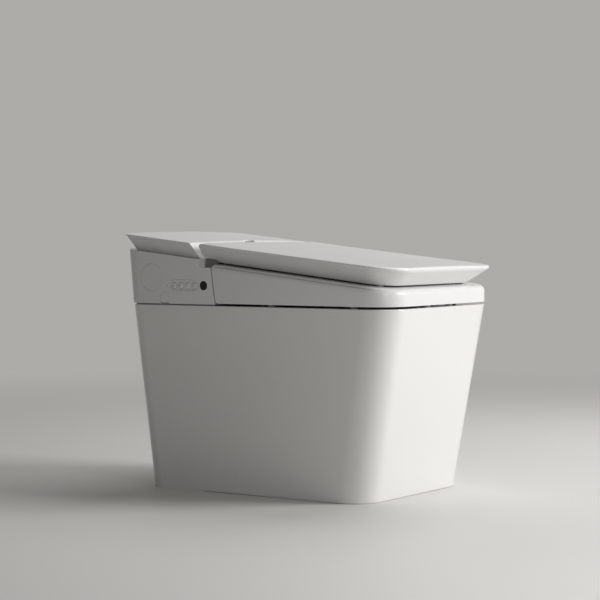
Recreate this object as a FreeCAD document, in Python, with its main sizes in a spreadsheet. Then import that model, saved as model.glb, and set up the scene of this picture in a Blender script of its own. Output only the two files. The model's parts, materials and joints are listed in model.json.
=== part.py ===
"""Floor-standing smart toilet with a heated seat: skirted ceramic body, heated seat, lid and rear unit.

Row frame, millimetres: +Z up, -Y is the front of the bowl, -X is the side that carries the controls.
The origin is on the floor, at the centre of the footprint of the whole object.
"""
import FreeCAD, Part
import math
import os
import re
import Sketcher

V = FreeCAD.Vector

# Driving dimensions, in millimetres and degrees. Each is written once, here.
SIZES = {
    # whole object
    "overall_length": 652, "front_height": 447.3, "top_slope": 6.16, "crown": 3.5,
    # lid
    "lid_width": 408, "lid_length": 451, "lid_thickness": 37.5, "lid_undercut": 34,
    "lid_rear_undercut": 8, "lid_corner": 60, "lid_under_corner": 50, "lid_lip": 6, "lid_lip_round": 2.5,
    "lid_wall": 3.5, "lid_panel": 2.5, "lid_solid_rear": 36, "bullnose": 12,
    # ceramic body
    "rim_width": 404, "rim_height": 371, "rim_setback": 9, "rim_corner": 63, "rim_rear_gap": 12,
    "base_width": 380, "base_setback": 75, "base_corner": 63, "base_rear_gap": 54, "rear_corner": 40,
    "skirt_wall": 15, "deck_thickness": 24, "bowl_wall": 12,
    "bowl_half_width": 138, "bowl_front_ledge": 45, "bowl_length": 347, "bowl_front_round": 120,
    "bowl_rear_round": 90,
    "sump_floor": 68, "sump_half_width": 42, "sump_length": 73, "sump_setback": 161,
    "trap_radius": 26, "trap_wall": 7, "trap_bend": 38, "weir_bend": 42, "trap_climb": 56, "trap_entry": 20,
    "outlet_setback": 402, "outlet_radius": 40, "outlet_wall": 10, "outlet_depth": 45,
    "well_setback": 466, "well_length": 117, "well_half_width": 170, "well_floor": 45, "well_wall": 12,
    "well_corner": 12, "window_half_width": 90, "window_low": 75, "window_high": 250, "window_corner": 18,
    "flush_port_radius": 12, "flush_port_wall": 8, "flush_port_height": 322,
    "small_gap": 0.3,
    # seat
    "seat_gap": 4.5, "lid_to_seat": 3.5, "seat_wall": 3, "seat_edge_round": 12, "seat_hole_half": 112,
    "seat_hole_setback": 94, "seat_hole_length": 277, "seat_hole_front_round": 108,
    "seat_hole_rear_round": 60, "seat_hole_edge": 9, "seat_rear_length": 414, "seat_lean": 11,
    "split_gap": 3, "seat_heel": 8, "seat_floor": 3, "seat_arch_half": 118, "seat_arch_height": 49,
    "heater_thickness": 0.8, "heater_margin": 9, "bumper_radius": 7, "bumper_x": 185,
    "bumper_front": -226, "bumper_rear": -36, "bumper_nose_x": 42, "bumper_nose_y": -300,
    "lid_bumper_x": 150, "lid_bumper_front": 60, "lid_bumper_rear": 330,
    # hinge
    "pin_radius": 4, "pin_play": 0.05, "bracket_in": 150, "bracket_width": 24, "arm_width": 20,
    "knuckle_gap": 1, "arm_round": 11, "pin_reach": 14, "hinge_pocket_low": 446, "hinge_pocket_rear": 136,
    "damper_radius": 8, "bracket_foot": 8, "arm_foot": 14, "arm_lift": 3, "arm_back": 5,
    # rear unit
    "unit_gap": 2.5, "unit_wall": 3, "unit_base": 4, "cover_thickness": 33.6, "cover_undercut": 18,
    "cover_groove": 25, "cover_front_slope": 19, "cover_rear_gap": 2, "cover_corner": 20, "cover_lip": 4,
    "cover_wall": 3, "cover_front_corner": 3, "unit_rear_gap": 10, "base_margin": 6,
    # side controls, on the -X side
    "control_height": 409.7, "button_radius": 6.6, "button_pitch": 17,
    "button_length": 9, "bezel_half_length": 34.6, "bezel_half_height": 10.6,
    "bezel_y": 166.3, "bezel_height": 411, "lamp_y": 207.6, "lamp_radius": 1.3,
    "sensor_y": 117.6, "sensor_height": 410.6, "sensor_radius": 9.2, "sensor_depth": 8,
    "cap_y": 248.8, "cap_height": 425.8, "cap_radius": 27.2, "cap_thickness": 3, "cap_play": 0.3,
    "release_y": 215.5, "release_width": 21.5, "release_top": 397, "release_depth": 9,
    "button_play": 0.25, "bezel_inset": 0.8, "bezel_flange": 3, "bezel_flange_depth": 1.5,
    "receiver_radius": 17, "receiver_setback": 7, "receiver_depth": 7, "receiver_inset": 1.2,
    # spray nozzles and dryer
    "nose_half_width": 106, "nose_front": 30, "nose_height": 41, "nose_wall": 3,
    "nose_round": 10,
    "wand_slope": 15, "wand_radius": 6.5, "wand_pitch": 26, "wand_length": 200, "wand_play": 0.08,
    "wand_tip_y": 33, "wand_tip_height": 384, "wand_port_margin": 1.3, "jet_radius": 1, "jet_setback": 12,
    "jet_depth": 5,
    "guide_start": 106, "guide_length": 62, "guide_width": 60, "guide_margin": 12,
    "stepper_radius": 14, "stepper_length": 24,
    "dryer_x": 71, "dryer_half_width": 19, "dryer_front": 31, "duct_height": 26, "duct_wall": 2,
    "flap_thickness": 2, "flap_pin_radius": 1.2, "flap_drop": 5, "flap_setback": 3,
    "fan_radius": 30, "fan_case_radius": 36, "fan_y": 176, "fan_eye": 18, "fan_plate": 1.7, "fan_blade": 9,
    "fan_blades": 12, "blade_width": 2, "motor_radius": 12, "motor_height": 8,
    "element_y": 112, "element_length": 12,
    "odour_radius": 23, "odour_length": 42, "odour_case_wall": 2.5, "odour_play": 0.5,
    "odour_case_length": 64,
    "odour_fan_radius": 21, "odour_fan_blade": 6.5, "odour_eye": 11, "odour_motor_radius": 9,
    # water
    "inlet_radius": 10.48, "inlet_length": 28, "inlet_x": 60, "inlet_height": 210, "inlet_nut_radius": 14,
    "inlet_nut_length": 22, "inlet_bore": 7, "valve_width": 40, "valve_length": 42, "valve_height": 38,
    "valve_y": 229, "stand_thickness": 6, "stand_width": 30,
    "pump_radius": 34, "pump_height": 150, "pump_y": 198, "elbow_radius": 9, "elbow_bore": 6.5,
    "elbow_bend": 24, "nozzle_bore": 8, "nozzle_front": 58, "tank_x": -106, "tank_width": 106,
    "tank_length": 98, "tank_height": 250, "tank_wall": 3,
    "boiler_x": -72, "boiler_y": 232, "boiler_width": 96, "boiler_length": 52, "boiler_height": 50,
    "selector_x": -52, "selector_y": 172, "selector_radius": 15, "selector_height": 26,
    # power and control
    "supply_x": 100, "supply_y": 262, "supply_width": 116, "supply_length": 72, "supply_height": 44,
    "board_x": 161, "board_y": 163, "board_width": 58, "board_length": 96, "board_thickness": 1.6,
    "post_radius": 3, "post_height": 5, "post_inset": 6, "chip_width": 20, "chip_height": 4,
    "key_board_x": -189, "key_board_length": 72, "key_board_height": 49,
    "gland_radius": 8, "gland_bore": 3.5, "gland_length": 16, "gland_x": -120, "gland_height": 396,
}

# Sizes that follow from the driving dimensions.
DERIVED = {
    "front_line": "-overall_length / 2",
    "rear_line": "overall_length / 2",
    "lid_half": "lid_width / 2",
    "rim_half": "rim_width / 2",
    "base_half": "base_width / 2",
    "rim_front": "front_line + rim_setback",
    "rim_rear": "rear_line - rim_rear_gap",
    "base_front": "front_line + base_setback",
    "base_rear": "rear_line - base_rear_gap",
    "slope_cos": "cos(top_slope)",
    "slope_tan": "tan(top_slope)",
    # distances along the sloping top, from the lid's front edge
    "lid_reach": "lid_length / slope_cos",
    "cover_start": "(lid_length + cover_groove) / slope_cos",
    "cover_end": "(overall_length - cover_rear_gap) / slope_cos",
    "hinge_along": "lid_reach - bullnose",
    "hinge_y": "front_line + hinge_along * slope_cos + bullnose * sin(top_slope)",
    "hinge_z": "front_height + hinge_along * sin(top_slope) - bullnose * slope_cos",
    # heights of the sloping planes above the row origin, at y = 0
    "top_zero": "front_height - front_line * slope_tan",
    "lid_under_zero": "top_zero - lid_thickness / slope_cos",
    "seat_top_zero": "lid_under_zero - lid_to_seat",
    "cover_under_zero": "top_zero - cover_thickness / slope_cos",
    "seat_low": "rim_height + seat_gap",
    "unit_low": "rim_height + unit_gap",
    "bowl_front": "rim_front + bowl_front_ledge",
    "bowl_rear": "bowl_front + bowl_length",
    "sump_front": "front_line + sump_setback",
    "sump_rear": "sump_front + sump_length",
    "sump_top": "rim_height * 0.34",
    "outlet_y": "front_line + outlet_setback",
    "well_front": "front_line + well_setback",
    "well_rear": "well_front + well_length",
    "well_face": "well_front - well_wall",
    "deck_low": "rim_height - deck_thickness",
    "seat_hole_front": "rim_front + seat_hole_setback - rim_setback",
    "seat_hole_rear": "seat_hole_front + seat_hole_length",
    "seat_heel_y": "front_line + seat_rear_length",
    "seat_arch_top": "rim_height + seat_arch_height",
    "seat_lean_tan": "seat_lean / 80",
    "unit_front_low": "seat_heel_y + split_gap - (seat_low - unit_low) * seat_lean_tan",
    "nose_rear": "unit_front_low + base_margin - small_gap",
    "deck_top": "rim_height + unit_base",
    "side_x": "-rim_half",
    "unit_rear_low": "rear_line - unit_rear_gap",
    "unit_top_zero": "cover_under_zero - small_gap",
    "unit_top_rear": "unit_top_zero + rear_line * slope_tan",
    "notch_in": "bracket_in - 2 * knuckle_gap - arm_width",
    "notch_out": "bracket_in + bracket_width + knuckle_gap",
    "nose_top": "rim_height + nose_height",
    "fan_x": "dryer_x - dryer_half_width + fan_case_radius",
    "valve_low": "inlet_height - valve_height / 2",
    "valve_rear": "valve_y + valve_length / 2",
}

doc = FreeCAD.newDocument("smart_toilet")
sheet = doc.addObject("Spreadsheet::Sheet", "Sizes")
pieces = []
known = {}


def fill_sheet():
    """Write every named size into the sheet, one row each, the name beside the value."""
    rows = [(name, str(size)) for name, size in SIZES.items()]
    rows += [(name, "=" + formula) for name, formula in DERIVED.items()]
    for row, (name, content) in enumerate(rows, start=2):
        sheet.set("A%d" % row, name)
        sheet.set("B%d" % row, content)
        sheet.setAlias("B%d" % row, name)
    doc.recompute()


def number(formula):
    """The present value of a formula over the sheet's names."""
    if formula not in known:
        sheet.set("D1", "=" + formula)
        sheet.recompute()
        known[formula] = float(sheet.get("D1"))
    return known[formula]


def linked(formula):
    """The formula with each size written as a reference to the sheet."""
    def reference(match):
        word = match.group()
        return "Sizes." + word if word in SIZES or word in DERIVED else word
    return re.sub(r"[a-z][a-z_0-9]*", reference, formula)


def bind(thing, prop, formula):
    thing.setExpression(prop, linked(formula))


def place(thing, x="0", y="0", z="0", turn=None, axis=(1, 0, 0)):
    """Put an object at a point given by formulas, turned about an axis by a formula in degrees."""
    if turn is not None:
        thing.Placement = FreeCAD.Placement(V(0, 0, 0), FreeCAD.Rotation(V(*axis), number(turn)))
        bind(thing, "Placement.Rotation.Angle", turn)
    for letter, formula in zip("xyz", (x, y, z)):
        bind(thing, "Placement.Base." + letter, formula)
    return thing


def new_body(label):
    body = doc.addObject("PartDesign::Body", label)
    body.Label = label
    return body


def keep(thing, label):
    """Give an object its node name and put it on the list of sub-parts."""
    thing.Label = label
    pieces.append(thing)
    return thing


def sketch(body, name, plane="XY_Plane", height="0"):
    """A sketch on one of the body's own origin planes, lifted along the plane's normal."""
    drawn = body.newObject("Sketcher::SketchObject", body.Name + "_" + name)
    support = [item for item in body.Origin.OriginFeatures if item.Role == plane]
    drawn.AttachmentSupport = [(support[0], "")]
    drawn.MapMode = "FlatFace"
    bind(drawn, "AttachmentOffset.Base.z", height)
    return drawn


def dimension(drawn, kind, formula, *where):
    row = drawn.addConstraint(Sketcher.Constraint(kind, *where, number(formula)))
    drawn.setExpression("Constraints[%d]" % row, linked(formula))


def rectangle(drawn, left, right, front, rear, front_round=None, rear_round=None):
    """A rectangle whose front pair and rear pair of corners may be rounded."""
    x0, x1, y0, y1 = [number(side) for side in (left, right, front, rear)]
    a = number(front_round) if front_round else 0
    b = number(rear_round) if rear_round else 0
    first = drawn.GeometryCount
    drawn.addGeometry([
        Part.LineSegment(V(x0 + a, y0, 0), V(x1 - a, y0, 0)),
        Part.LineSegment(V(x1, y0 + a, 0), V(x1, y1 - b, 0)),
        Part.LineSegment(V(x1 - b, y1, 0), V(x0 + b, y1, 0)),
        Part.LineSegment(V(x0, y1 - b, 0), V(x0, y0 + a, 0))], False)
    centres = [(x1 - a, y0 + a), (x1 - b, y1 - b), (x0 + b, y1 - b), (x0 + a, y0 + a)]
    rounds = [front_round, rear_round, rear_round, front_round]
    for corner in range(4):
        line, following = first + corner, first + (corner + 1) % 4
        if not rounds[corner]:
            drawn.addConstraint(Sketcher.Constraint("Coincident", line, 2, following, 1))
            continue
        circle = Part.Circle(V(*centres[corner], 0), V(0, 0, 1), (a, b, b, a)[corner])
        start = (corner - 1) * math.pi / 2
        arc = drawn.addGeometry(Part.ArcOfCircle(circle, start, start + math.pi / 2), False)
        drawn.addConstraint(Sketcher.Constraint("Tangent", line, 2, arc, 1))
        drawn.addConstraint(Sketcher.Constraint("Tangent", arc, 2, following, 1))
        dimension(drawn, "Radius", rounds[corner], arc)
    for side, way in enumerate(("Horizontal", "Vertical", "Horizontal", "Vertical")):
        drawn.addConstraint(Sketcher.Constraint(way, first + side))
    dimension(drawn, "DistanceY", front, first, 1)
    dimension(drawn, "DistanceX", right, first + 1, 1)
    dimension(drawn, "DistanceY", rear, first + 2, 1)
    dimension(drawn, "DistanceX", left, first + 3, 1)
    return drawn


def polygon(drawn, *corners):
    """Straight lines through corners that are given as pairs of formulas."""
    first = drawn.GeometryCount
    points = [V(number(x), number(y), 0) for x, y in corners]
    count = len(points)
    drawn.addGeometry([Part.LineSegment(points[i], points[(i + 1) % count]) for i in range(count)], False)
    for i in range(count):
        following = first + (i + 1) % count
        drawn.addConstraint(Sketcher.Constraint("Coincident", first + i, 2, following, 1))
    for i, (x, y) in enumerate(corners):
        dimension(drawn, "DistanceX", x, first + i, 1)
        dimension(drawn, "DistanceY", y, first + i, 1)
    return drawn


def circle(drawn, x, y, radius):
    centre = V(number(x), number(y), 0)
    ring = drawn.addGeometry(Part.Circle(centre, V(0, 0, 1), number(radius)), False)
    dimension(drawn, "DistanceX", x, ring, 3)
    dimension(drawn, "DistanceY", y, ring, 3)
    dimension(drawn, "Radius", radius, ring)
    return drawn


def pad(body, profile, length, name="pad", symmetric=False, flip=False):
    made = body.newObject("PartDesign::Pad", body.Name + "_" + name)
    made.Profile = profile
    made.SideType = "Symmetric" if symmetric else "One side"
    made.Reversed = flip
    bind(made, "Length", length)
    return made


def pocket(body, profile, name="pocket", length=None, symmetric=False, flip=False):
    """A cut through everything, or to a depth where length is given."""
    made = body.newObject("PartDesign::Pocket", body.Name + "_" + name)
    made.Profile = profile
    made.SideType = "Symmetric" if symmetric else "One side"
    made.Reversed = flip
    if length is None:
        made.Type = "ThroughAll"
    else:
        bind(made, "Length", length)
    return made


def loft(body, sections, name="loft", cut=False, ruled=True):
    kind = "PartDesign::SubtractiveLoft" if cut else "PartDesign::AdditiveLoft"
    made = body.newObject(kind, body.Name + "_" + name)
    made.Profile = sections[0]
    made.Sections = sections[1:]
    made.Ruled = ruled
    return made


def fillet(body, base, radius, test, name="fillet"):
    """Round the edges of a finished feature whose middle point passes the test."""
    doc.recompute()
    names = []
    for index, edge in enumerate(base.Shape.Edges, start=1):
        middle = edge.valueAt((edge.FirstParameter + edge.LastParameter) / 2)
        if test(middle, edge):
            names.append("Edge%d" % index)
    made = body.newObject("PartDesign::Fillet", body.Name + "_" + name)
    made.Base = (base, names)
    bind(made, "Radius", radius)
    return made


def joined(kind, first, second, label):
    """A boolean of two objects: kind is Cut, Common or Fuse."""
    made = doc.addObject("Part::" + kind, label)
    made.Base = first
    made.Tool = second
    made.Label = label
    return made


def together(label, items):
    """Several shapes as one: touching ones fused, separate ones side by side."""
    made = doc.addObject("Part::MultiFuse", label)
    made.Shapes = items
    made.Label = label
    return made


def cylinder(label, radius, height, x="0", y="0", z="0", turn=None, axis=(1, 0, 0)):
    made = doc.addObject("Part::Cylinder", label)
    bind(made, "Radius", radius)
    bind(made, "Height", height)
    return place(made, x, y, z, turn, axis)


def box(label, length, width, height, x="0", y="0", z="0"):
    """A block centred on x and y, standing on z."""
    made = doc.addObject("Part::Box", label)
    bind(made, "Length", length)
    bind(made, "Width", width)
    bind(made, "Height", height)
    return place(made, "%s - (%s) / 2" % (x, length), "%s - (%s) / 2" % (y, width), z)


fill_sheet()


def ceramic_body():
    """The fired body, in the pieces it is cast in: rim deck, skirt, rear well, bowl, sump and water trap."""
    shell = new_body("casting_shell")
    foot = rectangle(sketch(shell, "foot"), "-base_half", "base_half", "base_front", "base_rear",
                     "base_corner", "rear_corner")
    rim = rectangle(sketch(shell, "rim", height="rim_height"), "-rim_half", "rim_half", "rim_front",
                    "rim_rear", "rim_corner", "rear_corner")
    loft(shell, [foot, rim], "outside")

    share = "(1 - deck_thickness / rim_height)"
    half = "(base_half + (rim_half - base_half) * %s - skirt_wall)" % share
    front = "base_front + (rim_front - base_front) * %s + skirt_wall" % share
    low = rectangle(sketch(shell, "void_low"), "skirt_wall - base_half", "base_half - skirt_wall",
                    "base_front + skirt_wall", "well_face", "base_corner - skirt_wall")
    high = rectangle(sketch(shell, "void_high", height="deck_low"), "-" + half, half,
                     front, "well_face", "rim_corner - skirt_wall")
    loft(shell, [low, high], "underside", cut=True)
    bowl_sections(shell, "deck_hole", "0", "rim_height + 1", True)
    well = rectangle(sketch(shell, "well", height="rim_height"), "-well_half_width", "well_half_width",
                     "well_front", "well_rear", "well_corner", "well_corner")
    pocket(shell, well, "well_cut", "rim_height - well_floor")
    window = rectangle(sketch(shell, "window", "XZ_Plane", "-rear_line"), "-window_half_width",
                       "window_half_width", "window_low", "window_high", "window_corner", "window_corner")
    pocket(shell, window, "window_cut", "rear_line - well_rear + small_gap", flip=True)
    port_bore(shell)

    slab = box("deck_slab", "2 * rim_width", "2 * overall_length", "2 * deck_thickness", z="deck_low")
    ahead = box("skirt_block", "2 * rim_width", "overall_length", "rim_height", "0",
                "well_face - overall_length / 2")
    below = joined("Cut", shell, slab, "casting_below")
    keep(joined("Common", shell, slab, "rim_deck"), "rim_deck")
    keep(joined("Common", below, ahead, "pedestal_skirt"), "pedestal_skirt")
    keep(joined("Cut", below, ahead, "service_well"), "service_well")
    bowl()
    water_trap()


def port_bore(body):
    """The hole that the flush nozzle passes through, from the well into the bowl."""
    bore = circle(sketch(body, "port_bore", "XZ_Plane", "-well_front"), "0", "flush_port_height",
                  "flush_port_radius")
    pocket(body, bore, "port_cut", "well_front - bowl_rear + deck_thickness", flip=True)


def bowl():
    """The bowl below the rim deck, with the neck of the flush port behind it, and the sump under it."""
    body = new_body("bowl_whole")
    bowl_sections(body, "outside", "bowl_wall", "rim_height - bowl_wall", False)
    port = circle(sketch(body, "port", "XZ_Plane", "-well_face"), "0", "flush_port_height",
                  "flush_port_radius + flush_port_wall")
    pad(body, port, "well_face - bowl_rear + deck_thickness", "port_pad")
    top = rectangle(sketch(body, "top", height="deck_low"), "-rim_half", "rim_half", "rim_front", "rim_rear")
    pocket(body, top, "top_cut", flip=True)
    bowl_sections(body, "inside", "0", "rim_height + 1", True)
    tube(body, "trap_mouth", trap_route(body, "trap_mouth_route", "-1"), "trap_radius", True)
    port_bore(body)
    cup = box("sump_block", "rim_width", "overall_length", "sump_top", z="0")
    keep(joined("Cut", body, cup, "bowl"), "bowl")
    keep(joined("Common", body, cup, "sump"), "sump")


def water_trap():
    """The water trap behind the sump: up over the weir and down into the floor outlet's socket."""
    body = new_body("trap_tube")
    tube(body, "outside", trap_route(body, "outside_route", "0"), "trap_radius + trap_wall", False)
    socket = circle(sketch(body, "socket"), "0", "outlet_y", "outlet_radius + outlet_wall")
    pad(body, socket, "outlet_depth", "socket_pad")
    tube(body, "inside", trap_route(body, "inside_route", "-1"), "trap_radius", True)
    mouth = circle(sketch(body, "mouth"), "0", "outlet_y", "outlet_radius")
    pocket(body, mouth, "mouth_cut", "outlet_depth - outlet_wall", flip=True)
    form = new_body("bowl_form")
    bowl_sections(form, "outside", "bowl_wall", "rim_height - bowl_wall", False)
    keep(joined("Cut", body, form, "water_trap"), "water_trap")


def bowl_sections(body, name, wall, top, cut):
    """The bowl as rounded sections from the rim down to the sump, each grown by the wall."""
    levels = [
        # height, half width, front, rear, front round, rear round
        (top, "bowl_half_width", "bowl_front", "bowl_rear", "bowl_front_round", "bowl_rear_round"),
        ("rim_height * 0.79", "bowl_half_width * 0.91", "bowl_front + bowl_length * 0.03",
         "bowl_rear - bowl_length * 0.08", "bowl_front_round * 0.9", "bowl_rear_round * 0.88"),
        ("rim_height * 0.61", "bowl_half_width * 0.75", "bowl_front + bowl_length * 0.1",
         "bowl_rear - bowl_length * 0.35", "bowl_front_round * 0.7", "bowl_rear_round * 0.66"),
        ("sump_top", "sump_half_width * 1.3", "sump_front - sump_length * 0.14",
         "sump_rear + sump_length * 0.03", "sump_half_width", "sump_half_width * 0.75"),
        ("sump_floor - (%s)" % wall, "sump_half_width", "sump_front", "sump_rear",
         "sump_half_width * 0.8", "sump_half_width * 0.6"),
    ]
    sections = []
    for row, (height, half, front, rear, front_round, rear_round) in enumerate(levels):
        drawn = sketch(body, "%s_%d" % (name, row), height=height)
        sections.append(rectangle(
            drawn, "-(%s) - %s" % (half, wall), "%s + %s" % (half, wall), "%s - %s" % (front, wall),
            "%s + %s" % (rear, wall), "%s + %s" % (front_round, wall), "%s + %s" % (rear_round, wall)))
    loft(body, sections, name, cut=cut)


def trap_route(body, name, foot):
    """Centre line of the water trap: out of the sump, up and over the weir, down to the floor."""
    entry_y, entry_z = number("sump_rear - trap_entry"), number("sump_floor + trap_radius")
    bend, weir = number("trap_bend"), number("weir_bend")
    climb = math.radians(number("trap_climb"))
    lift_y = number("sump_rear")
    start, lift = V(entry_y, entry_z, 0), V(lift_y, entry_z, 0)
    rise_from = V(lift_y + bend * math.sin(climb), entry_z + bend * (1 - math.cos(climb)), 0)
    rise_to_y = number("outlet_y") - weir * (1 + math.sin(climb))
    rise_to = V(rise_to_y, rise_from.y + (rise_to_y - rise_from.x) * math.tan(climb), 0)
    crown = V(rise_to.x + weir * math.sin(climb), rise_to.y - weir * math.cos(climb), 0)
    down = V(crown.x + weir, crown.y, 0)
    route = sketch(body, name, "YZ_Plane")
    first = route.addGeometry([
        Part.LineSegment(start, lift),
        Part.ArcOfCircle(Part.Circle(V(lift_y, entry_z + bend, 0), V(0, 0, 1), bend),
                         -math.pi / 2, climb - math.pi / 2),
        Part.LineSegment(rise_from, rise_to),
        Part.ArcOfCircle(Part.Circle(crown, V(0, 0, 1), weir), 0, climb + math.pi / 2),
        Part.LineSegment(down, V(down.x, number(foot), 0))], False)[0]
    join = [(0, 2, 1, 1), (1, 2, 2, 1), (2, 2, 3, 2), (3, 1, 4, 1)]
    for one, end, other, start_end in join:
        route.addConstraint(Sketcher.Constraint("Tangent", first + one, end, first + other, start_end))
    route.addConstraint(Sketcher.Constraint("Horizontal", first))
    route.addConstraint(Sketcher.Constraint("Vertical", first + 4))
    dimension(route, "DistanceX", "sump_rear - trap_entry", first, 1)
    dimension(route, "DistanceY", "sump_floor + trap_radius", first, 1)
    dimension(route, "DistanceX", "sump_rear", first, 2)
    dimension(route, "Radius", "trap_bend", first + 1)
    dimension(route, "Radius", "weir_bend", first + 3)
    dimension(route, "DistanceX", "outlet_y", first + 4, 2)
    dimension(route, "DistanceY", foot, first + 4, 2)
    row = route.addConstraint(Sketcher.Constraint("Angle", first + 2, climb))
    route.setExpression("Constraints[%d]" % row, linked("trap_climb * 1 deg"))
    return route


def tube(body, name, route, radius, cut):
    """A round section carried along a route that starts on the XZ plane's direction."""
    kind = "PartDesign::SubtractivePipe" if cut else "PartDesign::AdditivePipe"
    section = circle(sketch(body, name + "_section", "XZ_Plane", "trap_entry - sump_rear"), "0",
                     "sump_floor + trap_radius", radius)
    made = body.newObject(kind, body.Name + "_" + name)
    made.Profile = section
    made.Spine = (route, [])
    return made


def tilted(body):
    """Stand a body's own XY plane on the sloping top, its origin at the lid's front edge."""
    return place(body, "0", "front_line", "front_height", "top_slope")


def crown_cut(body, half):
    """Take the top down to a shallow arch that is highest at the middle."""
    rise = "((%s) * (%s) + crown * crown) / (2 * crown)" % (half, half)
    drawn = sketch(body, "crown", "XZ_Plane")
    reach, radius, fall = number(half), number(rise), number("crown")
    angle = math.asin(reach / radius)
    arch = Part.Circle(V(0, -radius, 0), V(0, 0, 1), radius)
    drawn.addGeometry([
        Part.ArcOfCircle(arch, math.pi / 2 - angle, math.pi / 2 + angle),
        Part.LineSegment(V(-reach, -fall, 0), V(-reach, fall, 0)),
        Part.LineSegment(V(-reach, fall, 0), V(reach, fall, 0)),
        Part.LineSegment(V(reach, fall, 0), V(reach, -fall, 0))], False)
    for one, end, other, start in ((0, 2, 1, 1), (1, 2, 2, 1), (2, 2, 3, 1), (3, 2, 0, 1)):
        drawn.addConstraint(Sketcher.Constraint("Coincident", one, end, other, start))
    drawn.addConstraint(Sketcher.Constraint("Vertical", 1))
    drawn.addConstraint(Sketcher.Constraint("Horizontal", 2))
    drawn.addConstraint(Sketcher.Constraint("Vertical", 3))
    dimension(drawn, "DistanceX", "-(%s)" % half, 1, 1)
    dimension(drawn, "DistanceX", half, 3, 1)
    dimension(drawn, "DistanceY", "crown", 2, 1)
    dimension(drawn, "DistanceY", "-crown", 1, 1)
    dimension(drawn, "DistanceY", "-crown", 3, 2)
    dimension(drawn, "Radius", rise, 0)
    return pocket(body, drawn, "crown_cut", symmetric=True)


def lid_shell():
    """The lid's outer shell: shallow crown, thin lip, deep undercut and a rounded rear edge."""
    body = tilted(keep(new_body("lid_shell"), "lid_shell"))
    beyond = "lid_reach + lid_lip"
    upper = rectangle(sketch(body, "upper", height="-lid_lip"), "-lid_half", "lid_half", "0", beyond,
                      "lid_corner")
    under = "(lid_half - lid_undercut)"
    lower = rectangle(sketch(body, "lower", height="-lid_thickness"), "-" + under, under,
                      "lid_undercut", beyond, "lid_under_corner")
    loft(body, [upper, lower], "undercut")
    pad(body, upper, "lid_lip", "lip")
    crown_cut(body, "(lid_half + 1)")
    rear_trim(body)
    wall = "lid_wall * 1.45"
    roof = "(crown + lid_wall + 1.5)"
    fall = "lid_undercut * (%s - lid_lip) / (lid_thickness - lid_lip)" % roof
    top_half = "(lid_half - %s - %s)" % (fall, wall)
    low_half = "(%s - %s)" % (under, wall)
    high = rectangle(sketch(body, "cavity_high", height="-" + roof), "-" + top_half, top_half,
                     "%s + %s" % (fall, wall), "lid_reach - lid_solid_rear", "lid_corner - " + wall)
    low = rectangle(sketch(body, "cavity_low", height="-lid_thickness"), "-" + low_half, low_half,
                    "lid_undercut + " + wall, "lid_reach - lid_solid_rear", "lid_under_corner - " + wall)
    loft(body, [high, low], "cavity", cut=True)
    notch = sketch(body, "notch")
    for inner, outer in (("notch_in", "notch_out"), ("-notch_out", "-notch_in")):
        rectangle(notch, inner, outer, "hinge_along - arm_round - 2 * knuckle_gap", beyond)
    pocket(body, notch, "notch_cut", symmetric=True)
    for name, start, flip in (("right", "notch_in - pin_reach", True),
                              ("left", "pin_reach - notch_in", False)):
        bore = circle(sketch(body, "bore_" + name, "YZ_Plane", start), "hinge_along", "-bullnose",
                      "pin_radius + pin_play")
        last = pocket(body, bore, "bore_cut_" + name, "notch_out - notch_in + 2 * pin_reach", flip=flip)
    rear = number("hinge_along")
    lip = number("crown") + 1
    fillet(body, last, "lid_lip_round",
           lambda at, edge: at.z > -lip and at.y < rear - 1 and edge.Length > 20, "lip_round")


def rear_trim(body):
    """Trim the lid's rear to its side profile: a round nose about the hinge line, then a slant."""
    nose, along = number("bullnose"), number("hinge_along")
    heel_u = number("lid_reach - lid_rear_undercut / slope_cos")
    heel_w = -number("lid_thickness")
    away = math.atan2(heel_w + nose, heel_u - along)
    reach = math.hypot(heel_w + nose, heel_u - along)
    touch = away + math.acos(nose / reach)
    foot = V(along + nose * math.cos(touch), nose * (math.sin(touch) - 1), 0)
    heel = V(heel_u, heel_w, 0)
    far_u, far_w = number("lid_reach + bullnose"), -number("lid_thickness + bullnose")
    drawn = sketch(body, "rear_profile", "YZ_Plane")
    drawn.addGeometry([
        Part.LineSegment(V(along, nose, 0), V(along, 0, 0)),
        Part.ArcOfCircle(Part.Circle(V(along, -nose, 0), V(0, 0, 1), nose), touch, math.pi / 2),
        Part.LineSegment(foot, heel),
        Part.LineSegment(heel, V(heel_u, far_w, 0)),
        Part.LineSegment(V(heel_u, far_w, 0), V(far_u, far_w, 0)),
        Part.LineSegment(V(far_u, far_w, 0), V(far_u, nose, 0)),
        Part.LineSegment(V(far_u, nose, 0), V(along, nose, 0))], False)
    for one, end, other, start in ((0, 2, 1, 2), (2, 2, 3, 1), (3, 2, 4, 1), (4, 2, 5, 1), (5, 2, 6, 1),
                                   (6, 2, 0, 1)):
        drawn.addConstraint(Sketcher.Constraint("Coincident", one, end, other, start))
    drawn.addConstraint(Sketcher.Constraint("Tangent", 1, 1, 2, 1))
    for line, way in ((0, "Vertical"), (3, "Vertical"), (4, "Horizontal"), (5, "Vertical"),
                      (6, "Horizontal")):
        drawn.addConstraint(Sketcher.Constraint(way, line))
    dimension(drawn, "Radius", "bullnose", 1)
    dimension(drawn, "DistanceX", "hinge_along", 1, 3)
    dimension(drawn, "DistanceY", "-bullnose", 1, 3)
    dimension(drawn, "DistanceX", "hinge_along", 0, 2)
    dimension(drawn, "DistanceY", "bullnose", 0, 1)
    dimension(drawn, "DistanceX", "lid_reach - lid_rear_undercut / slope_cos", 2, 2)
    dimension(drawn, "DistanceY", "-lid_thickness", 2, 2)
    dimension(drawn, "DistanceX", "lid_reach + bullnose", 5, 1)
    dimension(drawn, "DistanceY", "-(lid_thickness + bullnose)", 5, 1)
    pocket(body, drawn, "rear_cut", symmetric=True)


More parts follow.
